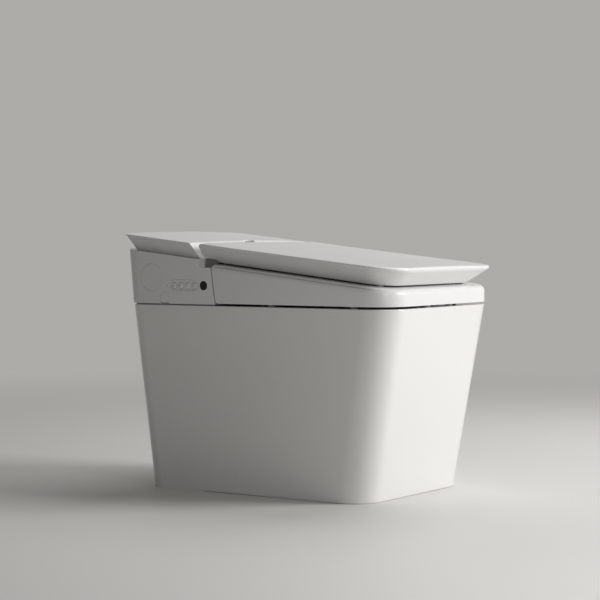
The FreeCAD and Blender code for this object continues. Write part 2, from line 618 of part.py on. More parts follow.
def lid_panel():
    """The inner panel that closes the lid from below."""
    body = tilted(keep(new_body("lid_inner_panel"), "lid_inner_panel"))
    inset = "lid_undercut + lid_wall * 1.45 + small_gap"
    half = "(lid_half - (%s))" % inset
    plan = rectangle(sketch(body, "plan", height="-lid_thickness"), "-" + half, half, inset,
                     "lid_reach - lid_solid_rear - small_gap", "lid_under_corner - lid_wall * 1.45")
    pad(body, plan, "lid_panel")


def seat_plan(body, name, height, inset, grow):
    """The seat ring in plan, its outside drawn in by inset and its hole grown by grow."""
    drawn = sketch(body, name, height=height)
    rectangle(drawn, "%s - rim_half" % inset, "rim_half - %s" % inset, "rim_front + %s" % inset,
              "seat_heel_y + 4 * split_gap", "rim_corner - %s" % inset)
    return rectangle(drawn, "-seat_hole_half - %s" % grow, "seat_hole_half + %s" % grow,
                     "seat_hole_front - %s" % grow, "seat_hole_rear + %s" % grow,
                     "seat_hole_front_round + %s" % grow, "seat_hole_rear_round + %s" % grow)


def seat_shells():
    """The seat ring: a wedge-shaped upper shell with deep sides, closed by a flat lower shell."""
    form = new_body("seat_form")
    outline = rectangle(sketch(form, "outline", height="seat_low"), "-rim_half", "rim_half", "rim_front",
                        "seat_heel_y + 6 * split_gap", "rim_corner")
    pad(form, outline, "top_zero - seat_low", "block")
    far, near = "2 * rear_line", "-2 * rear_line"
    top = polygon(sketch(form, "top", "YZ_Plane"),
                  (near, "seat_top_zero + 2 * front_line * slope_tan"),
                  (far, "seat_top_zero - 2 * front_line * slope_tan"),
                  (far, "top_zero * 2"), (near, "top_zero * 2"))
    pocket(form, top, "top_cut", symmetric=True)
    rear = polygon(sketch(form, "rear", "YZ_Plane"),
                   ("seat_heel_y - 10 * seat_lean_tan", "seat_low - 10"), (far, "seat_low - 10"),
                   (far, "top_zero * 2"),
                   ("seat_heel_y + (top_zero * 2 - seat_low) * seat_lean_tan", "top_zero * 2"))
    last = pocket(form, rear, "rear_cut", symmetric=True)
    low, heel_y = number("seat_low"), number("seat_heel_y")
    last = fillet(form, last, "seat_heel",
                  lambda at, edge: abs(at.z - low) < 0.01 and abs(at.y - heel_y) < 0.01, "heel")
    zero, slope = number("seat_top_zero"), number("slope_tan")
    last = fillet(form, last, "seat_edge_round",
                  lambda at, edge: abs(at.z - zero - at.y * slope) < 0.6 and at.y < heel_y + 1
                  and edge.Length > 20, "edge_round")
    hole = rectangle(sketch(form, "hole", height="seat_low"), "-seat_hole_half", "seat_hole_half",
                     "seat_hole_front", "seat_hole_rear", "seat_hole_front_round", "seat_hole_rear_round")
    last = pocket(form, hole, "hole_cut", flip=True)
    half, front, back = number("seat_hole_half"), number("seat_hole_front"), number("seat_hole_rear")
    last = fillet(form, last, "seat_hole_edge",
                  lambda at, edge: abs(at.x) < half + 1 and front - 1 < at.y < back + 1
                  and abs(at.z - zero - at.y * slope) < 0.6, "hole_round")
    arch = rectangle(sketch(form, "arch", height="seat_low"), "-seat_arch_half", "seat_arch_half",
                     "seat_hole_rear - seat_hole_rear_round", "seat_heel_y + 6 * split_gap")
    pocket(form, arch, "arch_cut", "seat_arch_top - seat_low", flip=True)

    plan = new_body("seat_cavity_plan")
    pad(plan, seat_plan(plan, "plan", "seat_low - 1", "seat_wall", "seat_wall"), "top_zero - seat_low")
    keep_out = rectangle(sketch(plan, "arch", height="seat_low - 2"), "-seat_arch_half - seat_wall",
                         "seat_arch_half + seat_wall", "seat_hole_rear - seat_hole_rear_round",
                         "seat_heel_y + 6 * split_gap")
    pocket(plan, keep_out, "arch_cut", flip=True)
    side = new_body("seat_cavity_side")
    ceiling = "seat_top_zero - seat_wall * 1.2"
    rise = "(%s - seat_low)" % ceiling
    profile = polygon(sketch(side, "profile", "YZ_Plane"),
                      ("rim_front", "seat_low - 1"), ("seat_heel_y - seat_heel - seat_wall", "seat_low - 1"),
                      ("seat_heel_y + seat_lean - 2 * seat_wall",
                       "%s + (seat_heel_y + seat_lean - 2 * seat_wall) * slope_tan" % ceiling),
                      ("rim_front", "%s + rim_front * slope_tan" % ceiling))
    pad(side, profile, "rim_width", symmetric=True)
    cavity = joined("Common", plan, side, "seat_cavity")
    shell = joined("Cut", form, cavity, "seat_shell")
    arms = [seat_arm("seat_arm_right", "bracket_in - knuckle_gap - arm_width"),
            seat_arm("seat_arm_left", "knuckle_gap - bracket_in")]
    keep(together("seat_upper_shell", [shell] + arms), "seat_upper_shell")

    lower = keep(new_body("seat_lower_shell"), "seat_lower_shell")
    inset = "(seat_wall + small_gap)"
    ring = seat_plan(lower, "plan", "seat_low", inset, inset)
    pad(lower, ring, "seat_floor")
    keep_out = rectangle(sketch(lower, "arch", height="seat_low"),
                         "-seat_arch_half - " + inset, "seat_arch_half + " + inset,
                         "seat_hole_rear - seat_hole_rear_round", "seat_heel_y + 6 * split_gap")
    pocket(lower, keep_out, "arch_cut", flip=True)
    heel = rectangle(sketch(lower, "heel", height="seat_low"), "-rim_half", "rim_half",
                     "seat_heel_y - seat_heel - seat_wall - small_gap", "seat_heel_y + 6 * split_gap")
    pocket(lower, heel, "heel_cut", flip=True)


def seat_heater():
    """Thin heating foil under the seat's top, a U that stops short of the rear arch."""
    body = tilted(keep(new_body("seat_heater"), "seat_heater"))
    inset = "(seat_wall + heater_margin + seat_edge_round)"
    grow = "(seat_wall + heater_margin)"
    depth = "-(lid_thickness + (lid_to_seat + seat_wall * 1.2 + small_gap) * slope_cos + heater_thickness)"
    drawn = sketch(body, "plan", height=depth)
    end = "(seat_hole_rear - seat_hole_rear_round - front_line) / slope_cos"
    rectangle(drawn, "%s - rim_half" % inset, "rim_half - %s" % inset,
              "(rim_setback + %s) / slope_cos" % inset, end, "rim_corner - %s" % inset)
    last = pad(body, drawn, "heater_thickness")
    hole = rectangle(sketch(body, "hole", height=depth), "-seat_hole_half - %s" % grow,
                     "seat_hole_half + %s" % grow, "(seat_hole_setback - %s) / slope_cos" % grow,
                     end + " + heater_margin", "seat_hole_front_round + %s" % grow)
    pocket(body, hole, "hole_cut", symmetric=True)
    return last


def seat_arm(label, start):
    """One hinge arm of the seat: a foot inside the seat's rear, a neck and a bored head."""
    arm = new_body(label)
    low = "(hinge_pocket_low + arm_lift)"
    seat_rear = "seat_heel_y + (%s - arm_foot - seat_low) * seat_lean_tan" % low
    outline = polygon(sketch(arm, "neck", "YZ_Plane", start),
                      ("seat_heel_y - seat_wall", low + " - arm_foot"), (seat_rear, low + " - arm_foot"),
                      ("seat_heel_y + seat_lean", low), ("hinge_y + arm_back", low),
                      ("hinge_y + arm_round - 2", "hinge_z - 4"), ("hinge_y - arm_round + 2", "hinge_z - 4"),
                      ("hinge_y - arm_round + 2", low + " + arm_lift"),
                      ("seat_heel_y + seat_lean / 2", low + " + 2"), ("seat_heel_y - seat_wall", low))
    pad(arm, outline, "arm_width", "neck_pad")
    head = circle(sketch(arm, "head", "YZ_Plane", start), "hinge_y", "hinge_z", "arm_round")
    pad(arm, head, "arm_width", "head_pad")
    bore = circle(sketch(arm, "bore", "YZ_Plane"), "hinge_y", "hinge_z", "pin_radius + pin_play")
    pocket(arm, bore, "bore_cut", symmetric=True)
    return arm


def hinge_parts():
    """Two fixed brackets on the rear unit, each with its damper cartridge and its pin."""
    along = {"y": "hinge_y", "z": "hinge_z", "turn": "90", "axis": (0, 1, 0)}
    for side, start, pin_start in (("right", "bracket_in", "notch_in - pin_reach + small_gap"),
                                   ("left", "-bracket_in - bracket_width",
                                    "small_gap - notch_out - pin_reach")):
        body = keep(new_body("hinge_bracket_" + side), "hinge_bracket_" + side)
        foot = polygon(sketch(body, "foot", "YZ_Plane", start),
                       ("hinge_y - arm_round + 2", "hinge_pocket_low"),
                       ("hinge_y + arm_round + bracket_foot", "hinge_pocket_low"),
                       ("hinge_y + arm_round - 2", "hinge_z - 4"),
                       ("hinge_y - arm_round + 2", "hinge_z - 4"))
        pad(body, foot, "bracket_width", "foot_pad")
        head = circle(sketch(body, "head", "YZ_Plane", start), "hinge_y", "hinge_z", "arm_round")
        pad(body, head, "bracket_width", "head_pad")
        bore = circle(sketch(body, "bore", "YZ_Plane"), "hinge_y", "hinge_z", "damper_radius + pin_play")
        pocket(body, bore, "bore_cut", symmetric=True)
        barrel = cylinder("damper_barrel_" + side, "damper_radius", "bracket_width", start, **along)
        hole = cylinder("damper_hole_" + side, "pin_radius + pin_play", "bracket_width * 2",
                        start + " - bracket_width / 2", **along)
        keep(joined("Cut", barrel, hole, "hinge_damper_" + side), "hinge_damper_" + side)
        keep(cylinder("hinge_pin_" + side, "pin_radius",
                      "notch_out - notch_in + 2 * (pin_reach - small_gap)", pin_start, **along),
             "hinge_pin_" + side)


def bumpers():
    """Rubber feet under the seat, on the rim, and under the lid, on the seat."""
    feet = []
    for i, (x, y) in enumerate((("bumper_x", "bumper_rear"), ("-bumper_x", "bumper_rear"),
                                ("bumper_x", "bumper_front"), ("-bumper_x", "bumper_front"),
                                ("bumper_nose_x", "bumper_nose_y"), ("-bumper_nose_x", "bumper_nose_y"))):
        feet.append(cylinder("seat_foot_%d" % i, "bumper_radius", "seat_gap - small_gap", x, y,
                             "rim_height + small_gap"))
    keep(together("seat_bumpers", feet), "seat_bumpers")
    feet = []
    for i, (x, along) in enumerate((("lid_bumper_x", "lid_bumper_front"),
                                    ("-lid_bumper_x", "lid_bumper_front"),
                                    ("lid_bumper_x", "lid_bumper_rear"),
                                    ("-lid_bumper_x", "lid_bumper_rear"))):
        body = tilted(new_body("lid_foot_%d" % i))
        under = "-(lid_thickness + (lid_to_seat - small_gap) * slope_cos)"
        pad(body, circle(sketch(body, "disc", height=under), x, along, "bumper_radius"),
            "(lid_to_seat - small_gap) * slope_cos")
        feet.append(body)
    keep(together("lid_bumpers", feet), "lid_bumpers")


def base_plate():
    """The plate that carries the rear unit on the rim, with a tongue forward under the nozzles."""
    body = keep(new_body("base_plate"), "base_plate")
    main = rectangle(sketch(body, "main", height="rim_height"), "base_margin - rim_half",
                     "rim_half - base_margin", "unit_front_low + base_margin", "unit_rear_low - base_margin",
                     None, "rear_corner - base_margin")
    pad(body, main, "unit_base", "main_pad")
    reach = "(nose_half_width - nose_wall - small_gap)"
    tongue = rectangle(sketch(body, "tongue", height="rim_height"), "-" + reach, reach,
                       "nose_front + nose_wall + small_gap", "unit_front_low + 2 * base_margin",
                       "nose_round - nose_wall")
    pad(body, tongue, "unit_base", "tongue_pad")


def unit_form(label, inset, roof):
    """The rear unit's outside drawn in by inset on its sides and rear, cut off at the roof's height."""
    form = new_body(label)
    plans = []
    for name, height, rear in (("low", "unit_low", "unit_rear_low"), ("high", "unit_top_rear", "rear_line")):
        plans.append(rectangle(sketch(form, name, height=height), "%s - rim_half" % inset,
                               "rim_half - %s" % inset, "unit_front_low - base_margin",
                               "%s - %s" % (rear, inset), None, "rear_corner - %s" % inset))
    loft(form, plans, "block")
    front, lean = "(unit_front_low + %s)" % inset, "seat_lean_tan"
    step = "(hinge_pocket_rear + %s)" % inset
    shelf = "(hinge_pocket_low - %s)" % inset
    near, far, high = "front_line", "rear_line * 1.2", "top_zero * 2"
    ahead = polygon(sketch(form, "ahead", "YZ_Plane"),
                    (near, "unit_low - 10"), ("%s - 10 * %s" % (front, lean), "unit_low - 10"),
                    ("%s + (top_zero * 2 - unit_low) * %s" % (front, lean), high), (near, high))
    pocket(form, ahead, "front_cut", symmetric=True)
    above = polygon(sketch(form, "above", "YZ_Plane"),
                    (near, shelf), (step, shelf), (step, "%s + %s * slope_tan" % (roof, step)),
                    (far, "%s + %s * slope_tan" % (roof, far)), (far, high), (near, high))
    return form, pocket(form, above, "top_cut", symmetric=True)


def pill(drawn, y, z, half_length, half_height):
    """An upright slot with round ends, drawn on a side face."""
    return rectangle(drawn, "%s - %s" % (y, half_length), "%s + %s" % (y, half_length),
                     "%s - %s" % (z, half_height), "%s + %s" % (z, half_height),
                     half_height + " - 0.01", half_height + " - 0.01")


def rear_housing():
    """The rear unit's shell, open below, with its openings for controls, nozzles and cord."""
    form, last = unit_form("housing_form", "0", "unit_top_zero")
    reach = "unit_wall * 2"

    def side_cut(name, drawn):
        return pocket(form, drawn, name + "_cut", reach, flip=True)

    def side_sketch(name):
        return sketch(form, name, "YZ_Plane", "side_x")

    side_cut("cap", circle(side_sketch("cap"), "cap_y", "cap_height", "cap_radius + cap_play"))
    side_cut("bezel", pill(side_sketch("bezel"), "bezel_y", "bezel_height",
                           "(bezel_half_length + small_gap)", "(bezel_half_height + small_gap)"))
    side_cut("lamp", circle(side_sketch("lamp"), "lamp_y", "control_height", "lamp_radius + small_gap / 3"))
    side_cut("sensor", circle(side_sketch("sensor"), "sensor_y", "sensor_height",
                              "sensor_radius + small_gap / 2"))
    half = "(release_width / 2 + small_gap)"
    side_cut("release", rectangle(side_sketch("release"), "release_y - " + half, "release_y + " + half,
                                  "unit_low - unit_wall", "release_top + small_gap", None, half + " - 0.01"))
    window = rectangle(sketch(form, "window", "XZ_Plane", "-nose_front"), "-nose_half_width - small_gap",
                       "nose_half_width + small_gap", "unit_low - unit_wall", "nose_top + small_gap")
    pocket(form, window, "window_cut", "nose_rear - nose_front + unit_wall")
    gland = circle(sketch(form, "gland", "XZ_Plane", "4 * gland_radius - rear_line"), "gland_x",
                   "gland_height", "gland_radius + small_gap / 2")
    pocket(form, gland, "gland_cut", "8 * gland_radius")
    cavity = unit_form("housing_cavity", "unit_wall", "(unit_top_zero - unit_wall)")[0]
    keep(joined("Cut", form, cavity, "rear_housing"), "rear_housing")


def rear_cover():
    """The sloping top cover behind the lid, undercut all round, with the receiver's notch in front."""
    body = tilted(keep(new_body("rear_top_cover"), "rear_top_cover"))
    upper = rectangle(sketch(body, "upper", height="-cover_lip"), "-lid_half", "lid_half", "cover_start",
                      "cover_end", "cover_front_corner", "cover_corner")
    depth = "(cover_thickness * slope_cos)"
    under = "(lid_half - cover_undercut)"
    lower = rectangle(sketch(body, "lower", height="-" + depth), "-" + under, under,
                      "cover_start - cover_front_slope", "cover_end - cover_undercut",
                      "cover_front_corner", "cover_corner")
    loft(body, [upper, lower], "undercut")
    pad(body, upper, "cover_lip", "lip")
    crown_cut(body, "(lid_half + 1)")
    wall = "(cover_wall * 1.3)"
    roof = "(crown + cover_wall + 2)"
    fall = "(cover_undercut * (%s - cover_lip) / (%s - cover_lip))" % (roof, depth)
    top_half = "(lid_half - %s - %s)" % (fall, wall)
    low_half = "(%s - %s)" % (under, wall)
    high = rectangle(sketch(body, "cavity_high", height="-" + roof), "-" + top_half, top_half,
                     "cover_start + receiver_radius", "cover_end - %s - %s" % (fall, wall),
                     "cover_front_corner", "cover_corner - " + wall)
    low = rectangle(sketch(body, "cavity_low", height="-" + depth), "-" + low_half, low_half,
                    "cover_start - cover_front_slope + 2 * " + wall, "cover_end - cover_undercut - " + wall,
                    "cover_front_corner", "cover_corner - " + wall)
    loft(body, [high, low], "cavity", cut=True)
    notch = circle(sketch(body, "receiver"), "0", "cover_start - receiver_setback", "receiver_radius")
    pocket(body, notch, "receiver_cut", "receiver_depth")

    lens = tilted(keep(new_body("receiver_window"), "receiver_window"))
    disc = circle(sketch(lens, "disc", height="small_gap - receiver_depth"), "0",
                  "cover_start - receiver_setback", "receiver_radius - small_gap")
    pad(lens, disc, "receiver_depth - small_gap - receiver_inset - crown / 4")
    tilt = "cover_front_slope / %s" % depth
    ahead = "cover_start - 3 * receiver_radius"
    front = polygon(sketch(lens, "front", "YZ_Plane"),
                    ("cover_start + 2 * %s" % tilt, "2"),
                    ("cover_start - 2 * receiver_depth * %s" % tilt, "-2 * receiver_depth"),
                    (ahead, "-2 * receiver_depth"), (ahead, "2"))
    pocket(lens, front, "front_cut", symmetric=True)


def side_controls():
    """Everything on the control side: bezel, four buttons, lamp, sensor, release button, filter cap."""
    across = {"turn": "90", "axis": (0, 1, 0)}
    body = keep(new_body("button_bezel"), "button_bezel")
    pad(body, pill(sketch(body, "face", "YZ_Plane", "side_x + bezel_inset"), "bezel_y", "bezel_height",
                   "bezel_half_length", "bezel_half_height"), "unit_wall + small_gap - bezel_inset", "face_pad")
    pad(body, pill(sketch(body, "flange", "YZ_Plane", "side_x + unit_wall + small_gap"), "bezel_y",
                   "bezel_height", "(bezel_half_length + bezel_flange)", "(bezel_half_height + bezel_flange)"),
        "bezel_flange_depth", "flange_pad")
    holes = sketch(body, "holes", "YZ_Plane")
    for i in range(4):
        middle = "bezel_y + (%g) * button_pitch" % (1.5 - i)
        circle(holes, middle, "control_height", "button_radius + button_play")
        keep(cylinder("button_%d" % (i + 1), "button_radius", "button_length", "side_x", middle,
                      "control_height", **across), "button_%d" % (i + 1))
    pocket(body, holes, "holes_cut", symmetric=True)
    keep(cylinder("lamp_lens", "lamp_radius", "unit_wall * 1.5", "side_x", "lamp_y", "control_height",
                  **across), "lamp_lens")
    keep(cylinder("sensor_window", "sensor_radius", "sensor_depth", "side_x", "sensor_y", "sensor_height",
                  **across), "sensor_window")
    body = keep(new_body("release_button"), "release_button")
    half = "release_width / 2"
    pad(body, rectangle(sketch(body, "face", "YZ_Plane", "side_x"), "release_y - " + half,
                        "release_y + " + half, "deck_top + small_gap", "release_top", None,
                        half + " - 0.01"), "release_depth")
    keep(box("button_board", "board_thickness", "key_board_length", "key_board_height", "key_board_x",
             "bezel_y", "deck_top"), "button_board")


def odour_filter():
    """The filter drawer behind the round cap: cap, cartridge, case and the small fan at its end."""
    across = {"y": "cap_y", "z": "cap_height", "turn": "90", "axis": (0, 1, 0)}
    start = "side_x + cap_thickness + small_gap"
    keep(cylinder("filter_cap", "cap_radius", "cap_thickness", "side_x", **across), "filter_cap")
    keep(cylinder("filter_cartridge", "odour_radius", "odour_length", start, **across), "filter_cartridge")
    inner = "(odour_radius + odour_play)"
    outer = cylinder("case_outer", inner + " + odour_case_wall", "odour_case_length", start + " + small_gap",
                     **across)
    foot = box("case_foot", "odour_case_length - 2 * unit_wall", "2 * odour_radius - 8",
               "cap_height - deck_top - 10", start + " + unit_wall + odour_case_length / 2", "cap_y", "deck_top")
    space = cylinder("case_space", inner, "odour_case_length - odour_case_wall", start, **across)
    case = joined("Cut", together("case_solid", [outer, foot]), space, "case_hollow")
    vents = []
    for i in range(6):
        slot = box("case_vent_%d" % i, "odour_case_wall * 4", "2.5", "10",
                   "side_x + cap_thickness + odour_case_length", "cap_y + (%g) * 5" % (i - 2.5),
                   "cap_height + odour_eye")
        vents.append(slot)
    keep(joined("Cut", case, together("case_vents", vents), "filter_case"), "filter_case")
    motor_start = "side_x + cap_thickness + small_gap + odour_case_length - odour_case_wall - motor_height"
    keep(cylinder("odour_motor", "odour_motor_radius", "motor_height", motor_start, **across), "odour_motor")
    fan_wheel("odour_fan", "odour_fan_radius", "odour_eye", "odour_fan_blade",
              motor_start + " - small_gap", "cap_y", "cap_height", "-90", (0, 1, 0))


def fan_wheel(label, radius, eye, blade, x, y, z, turn=None, axis=(1, 0, 0)):
    """A disc with upright blades round its edge and a small hub."""
    body = place(keep(new_body(label), label), x, y, z, turn, axis)
    pad(body, circle(sketch(body, "disc"), "0", "0", radius), "fan_plate", "disc_pad")
    pad(body, circle(sketch(body, "hub"), "0", "0", "post_radius"), "%s + fan_plate" % blade, "hub_pad")
    vane = rectangle(sketch(body, "vane"), eye, radius + " - 0.5", "-blade_width / 2", "blade_width / 2")
    one = pad(body, vane, "%s + fan_plate" % blade, "vane_pad")
    pattern = body.newObject("PartDesign::PolarPattern", label + "_blades")
    pattern.Originals = [one]
    pattern.Axis = ([item for item in body.Origin.OriginFeatures if item.Role == "Z_Axis"][0], [""])
    pattern.Angle = 360
    bind(pattern, "Occurrences", "fan_blades")
    body.Tip = pattern


def nozzle_cover():
    """The nose under the seat's rear that hides the spray wands and the dryer's mouth."""
    body = keep(new_body("nozzle_cover"), "nozzle_cover")
    outline = rectangle(sketch(body, "outline", height="rim_height + small_gap"), "-nose_half_width",
                        "nose_half_width", "nose_front", "nose_rear", "nose_round")
    last = pad(body, outline, "nose_height - small_gap", "block")
    top, front, rear = number("nose_top"), number("nose_front"), number("nose_rear")
    fillet(body, last, "nose_round / 2",
           lambda at, edge: abs(at.z - top) < 0.01 and at.y < rear - 1, "top_round")
    inner = "(nose_half_width - nose_wall)"
    space = rectangle(sketch(body, "space", height="rim_height"), "-" + inner, inner,
                      "nose_front + nose_wall", "nose_rear + 1", "nose_round - nose_wall")
    pocket(body, space, "space_cut", "nose_height - nose_wall", flip=True)
    ports = sketch(body, "ports", "XZ_Plane", "-nose_front")
    drop = "wand_tip_height - (wand_tip_y - nose_front - nose_wall / 2) * tan(wand_slope)"
    for side in ("-", ""):
        circle(ports, side + "wand_pitch / 2", drop, "wand_radius + wand_port_margin")
    rectangle(ports, "dryer_x - dryer_half_width - small_gap", "dryer_x + dryer_half_width + small_gap",
              "rim_height - 1", "deck_top + duct_height + small_gap")
    pocket(body, ports, "ports_cut", "2 * nose_wall")


def spray_wands():
    """Two hollow-tipped wands that slide out of one guide block, and the stepper beside them."""
    sloped = {"turn": "wand_slope - 90"}
    bores, wands = [], (("rear_wand", "-wand_pitch / 2"), ("front_wand", "wand_pitch / 2"))
    for label, x in wands:
        rod = cylinder(label + "_rod", "wand_radius", "wand_length", x, "wand_tip_y", "wand_tip_height",
                       **sloped)
        jets = []
        for i in range(3):
            back = "(jet_setback + %d * 4 * jet_radius)" % i
            lift = "(wand_radius - jet_depth)"
            jets.append(cylinder("%s_jet_%d" % (label, i), "jet_radius", "2 * jet_depth", x,
                                 "wand_tip_y + %s * cos(wand_slope) - %s * sin(wand_slope)" % (back, lift),
                                 "wand_tip_height + %s * sin(wand_slope) + %s * cos(wand_slope)" % (back, lift),
                                 turn="wand_slope"))
        keep(joined("Cut", rod, together(label + "_jets", jets), label), label)
        bores.append(cylinder(label + "_bore", "wand_radius + wand_play", "wand_length * 2", x,
                              "wand_tip_y - wand_length * cos(wand_slope) / 2",
                              "wand_tip_height - wand_length * sin(wand_slope) / 2", **sloped))
    block = new_body("guide_block")
    rise = "(wand_tip_height + (%s - wand_tip_y) * tan(wand_slope) + guide_margin)"
    end = "guide_start + guide_length"
    side = polygon(sketch(block, "side", "YZ_Plane"), ("guide_start", "deck_top"), (end, "deck_top"),
                   (end, rise % end), ("guide_start", rise % "guide_start"))
    pad(block, side, "guide_width", symmetric=True)
    keep(joined("Cut", block, together("guide_bores", bores), "nozzle_guide"), "nozzle_guide")
    keep(cylinder("nozzle_stepper", "stepper_radius", "stepper_length",
                  "-guide_width / 2 - small_gap - stepper_length", "guide_start + guide_length / 2",
                  "deck_top + stepper_radius", turn="90", axis=(0, 1, 0)), "nozzle_stepper")


def warm_air_dryer():
    """The dryer: fan case and duct in one, fan with motor, heating element and hanging flap."""
    upright = {"x": "fan_x", "y": "fan_y"}
    width = "2 * dryer_half_width"
    duct_length = "(fan_y - dryer_front)"
    solid = together("duct_solid", [
        box("duct_channel", width, duct_length, "duct_height", "dryer_x", "(fan_y + dryer_front) / 2", "deck_top"),
        cylinder("duct_case", "fan_case_radius", "duct_height", z="deck_top", **upright)])
    air = together("duct_air", [
        box("duct_channel_air", width + " - 2 * duct_wall", duct_length + " + 2",
            "duct_height - 2 * duct_wall", "dryer_x", "(fan_y + dryer_front) / 2 - 1",
            "deck_top + duct_wall"),
        cylinder("duct_case_air", "fan_case_radius - duct_wall", "duct_height - 2 * duct_wall",
                 z="deck_top + duct_wall", **upright),
        cylinder("duct_eye", "fan_eye", "duct_height", z="deck_top + 2 * duct_wall", **upright)])
    pivot = {"y": "dryer_front + flap_setback", "z": "deck_top + duct_height - flap_drop", "turn": "90",
             "axis": (0, 1, 0)}
    left = "dryer_x - dryer_half_width"
    bore = cylinder("flap_bore", "flap_pin_radius + pin_play", width + " + 2", left + " - 1", **pivot)
    keep(joined("Cut", joined("Cut", solid, air, "duct_open"), bore, "dryer_duct"), "dryer_duct")
    low = "deck_top + duct_wall"
    keep(cylinder("dryer_motor", "motor_radius", "motor_height", z=low, **upright), "dryer_motor")
    fan_wheel("dryer_fan", "fan_radius", "fan_eye", "fan_blade", "fan_x", "fan_y",
              low + " + motor_height + small_gap")
    keep(box("dryer_element", width + " - 2 * duct_wall - 2 * small_gap", "element_length",
             "duct_height - 2 * duct_wall - small_gap", "dryer_x", "element_y", low), "dryer_element")
    pin = cylinder("flap_pin", "flap_pin_radius", width + " - 2 * small_gap", left + " + small_gap", **pivot)
    plate = box("flap_plate", width + " - 2 * duct_wall - 2 * small_gap", "flap_thickness",
                "duct_height - duct_wall - flap_drop - small_gap", "dryer_x", "dryer_front + flap_setback",
                low + " + small_gap")
    keep(together("dryer_flap", [pin, plate]), "dryer_flap")


def water_parts():
    """Inlet valve on its stand, flush tank, pump, elbow and nozzle, water heater and selector."""
    rearward = {"x": "inlet_x", "z": "inlet_height", "turn": "-90"}
    body = box("valve_block", "valve_width", "valve_length", "valve_height", "inlet_x", "valve_y", "valve_low")
    neck = cylinder("valve_neck", "inlet_nut_radius", "inlet_nut_length", y="valve_rear", **rearward)
    thread = cylinder("valve_thread", "inlet_radius", "inlet_length", y="valve_rear + inlet_nut_length",
                      **rearward)
    bore = cylinder("valve_bore", "inlet_bore", "inlet_length + inlet_nut_length", y="valve_rear + 1",
                    **rearward)
    valve = joined("Cut", together("valve_solid", [body, neck, thread]), bore, "inlet_valve")
    keep(valve, "inlet_valve")
    keep(box("valve_stand", "stand_width", "stand_thickness", "valve_low - well_floor", "inlet_x",
             "valve_y", "well_floor"), "valve_stand")
    tank = box("tank_outer", "tank_width", "tank_length", "tank_height", "tank_x", "pump_y", "well_floor")
    space = box("tank_space", "tank_width - 2 * tank_wall", "tank_length - 2 * tank_wall",
                "tank_height - 2 * tank_wall", "tank_x", "pump_y", "well_floor + tank_wall")
    keep(joined("Cut", tank, space, "flush_tank"), "flush_tank")
    keep(cylinder("flush_pump", "pump_radius", "pump_height", "0", "pump_y", "well_floor"), "flush_pump")
    flush_pipe()
    nozzle = cylinder("nozzle_outer", "flush_port_radius - small_gap", "well_front - nozzle_front",
                      y="nozzle_front", z="flush_port_height", turn="-90")
    hole = cylinder("nozzle_hole", "nozzle_bore", "2 * well_front", z="flush_port_height", turn="-90")
    keep(joined("Cut", nozzle, hole, "flush_nozzle"), "flush_nozzle")
    keep(box("water_heater", "boiler_width", "boiler_length", "boiler_height", "boiler_x", "boiler_y",
             "deck_top"), "water_heater")
    keep(cylinder("flow_selector", "selector_radius", "selector_height", "selector_x", "selector_y",
                  "deck_top"), "flow_selector")


def flush_pipe():
    """The bent pipe from the pump's top to the flush nozzle."""
    body = keep(new_body("flush_elbow"), "flush_elbow")
    foot, start, top = "well_floor + pump_height", "well_front + small_gap", "flush_port_height"
    drawn = sketch(body, "route", "YZ_Plane")
    x, low, high, near, bend = (number("pump_y"), number(foot), number(top), number(start),
                                number("elbow_bend"))
    drawn.addGeometry([
        Part.LineSegment(V(x, low, 0), V(x, high - bend, 0)),
        Part.ArcOfCircle(Part.Circle(V(x - bend, high - bend, 0), V(0, 0, 1), bend), 0, math.pi / 2),
        Part.LineSegment(V(x - bend, high, 0), V(near, high, 0))], False)
    drawn.addConstraint(Sketcher.Constraint("Tangent", 0, 2, 1, 1))
    drawn.addConstraint(Sketcher.Constraint("Tangent", 1, 2, 2, 1))
    drawn.addConstraint(Sketcher.Constraint("Vertical", 0))
    drawn.addConstraint(Sketcher.Constraint("Horizontal", 2))
    dimension(drawn, "Radius", "elbow_bend", 1)
    dimension(drawn, "DistanceX", "pump_y", 0, 1)
    dimension(drawn, "DistanceY", foot, 0, 1)
    dimension(drawn, "DistanceX", start, 2, 2)
    dimension(drawn, "DistanceY", top, 2, 2)
    for name, radius, cut in (("outer", "elbow_radius", False), ("inner", "elbow_bore", True)):
        kind = "PartDesign::SubtractivePipe" if cut else "PartDesign::AdditivePipe"
        section = circle(sketch(body, name, height=foot), "0", "pump_y", radius)
        pipe = body.newObject(kind, body.Name + "_" + name + "_pipe")
        pipe.Profile = section
        pipe.Spine = (drawn, [])


def power_parts():
    """Power supply, main board on its posts, and the gland where the supply cord enters."""
    keep(box("power_supply", "supply_width", "supply_length", "supply_height", "supply_x", "supply_y",
             "deck_top"), "power_supply")
    lift = "deck_top + post_height"
    items = [box("board_plate", "board_width", "board_length", "board_thickness", "board_x", "board_y", lift)]
    for i, (x, y) in enumerate(((-1, -1), (1, -1), (-1, 1), (1, 1))):
        items.append(cylinder("board_post_%d" % i, "post_radius", "post_height",
                              "board_x + %d * (board_width / 2 - post_inset)" % x,
                              "board_y + %d * (board_length / 2 - post_inset)" % y, "deck_top"))
    for i in (-1, 1):
        items.append(box("board_chip_%d" % (i + 1), "chip_width", "chip_width", "chip_height", "board_x",
                         "board_y + %d * chip_width" % i, lift + " + board_thickness"))
    keep(together("main_board", items), "main_board")
    outer = cylinder("gland_outer", "gland_radius", "gland_length", "gland_x",
                     "rear_line - gland_length - 2 * small_gap", "gland_height", turn="-90")
    bore = cylinder("gland_hole", "gland_bore", "2 * gland_length", "gland_x",
                    "rear_line - 1.5 * gland_length", "gland_height", turn="-90")
    keep(joined("Cut", outer, bore, "cord_gland"), "cord_gland")


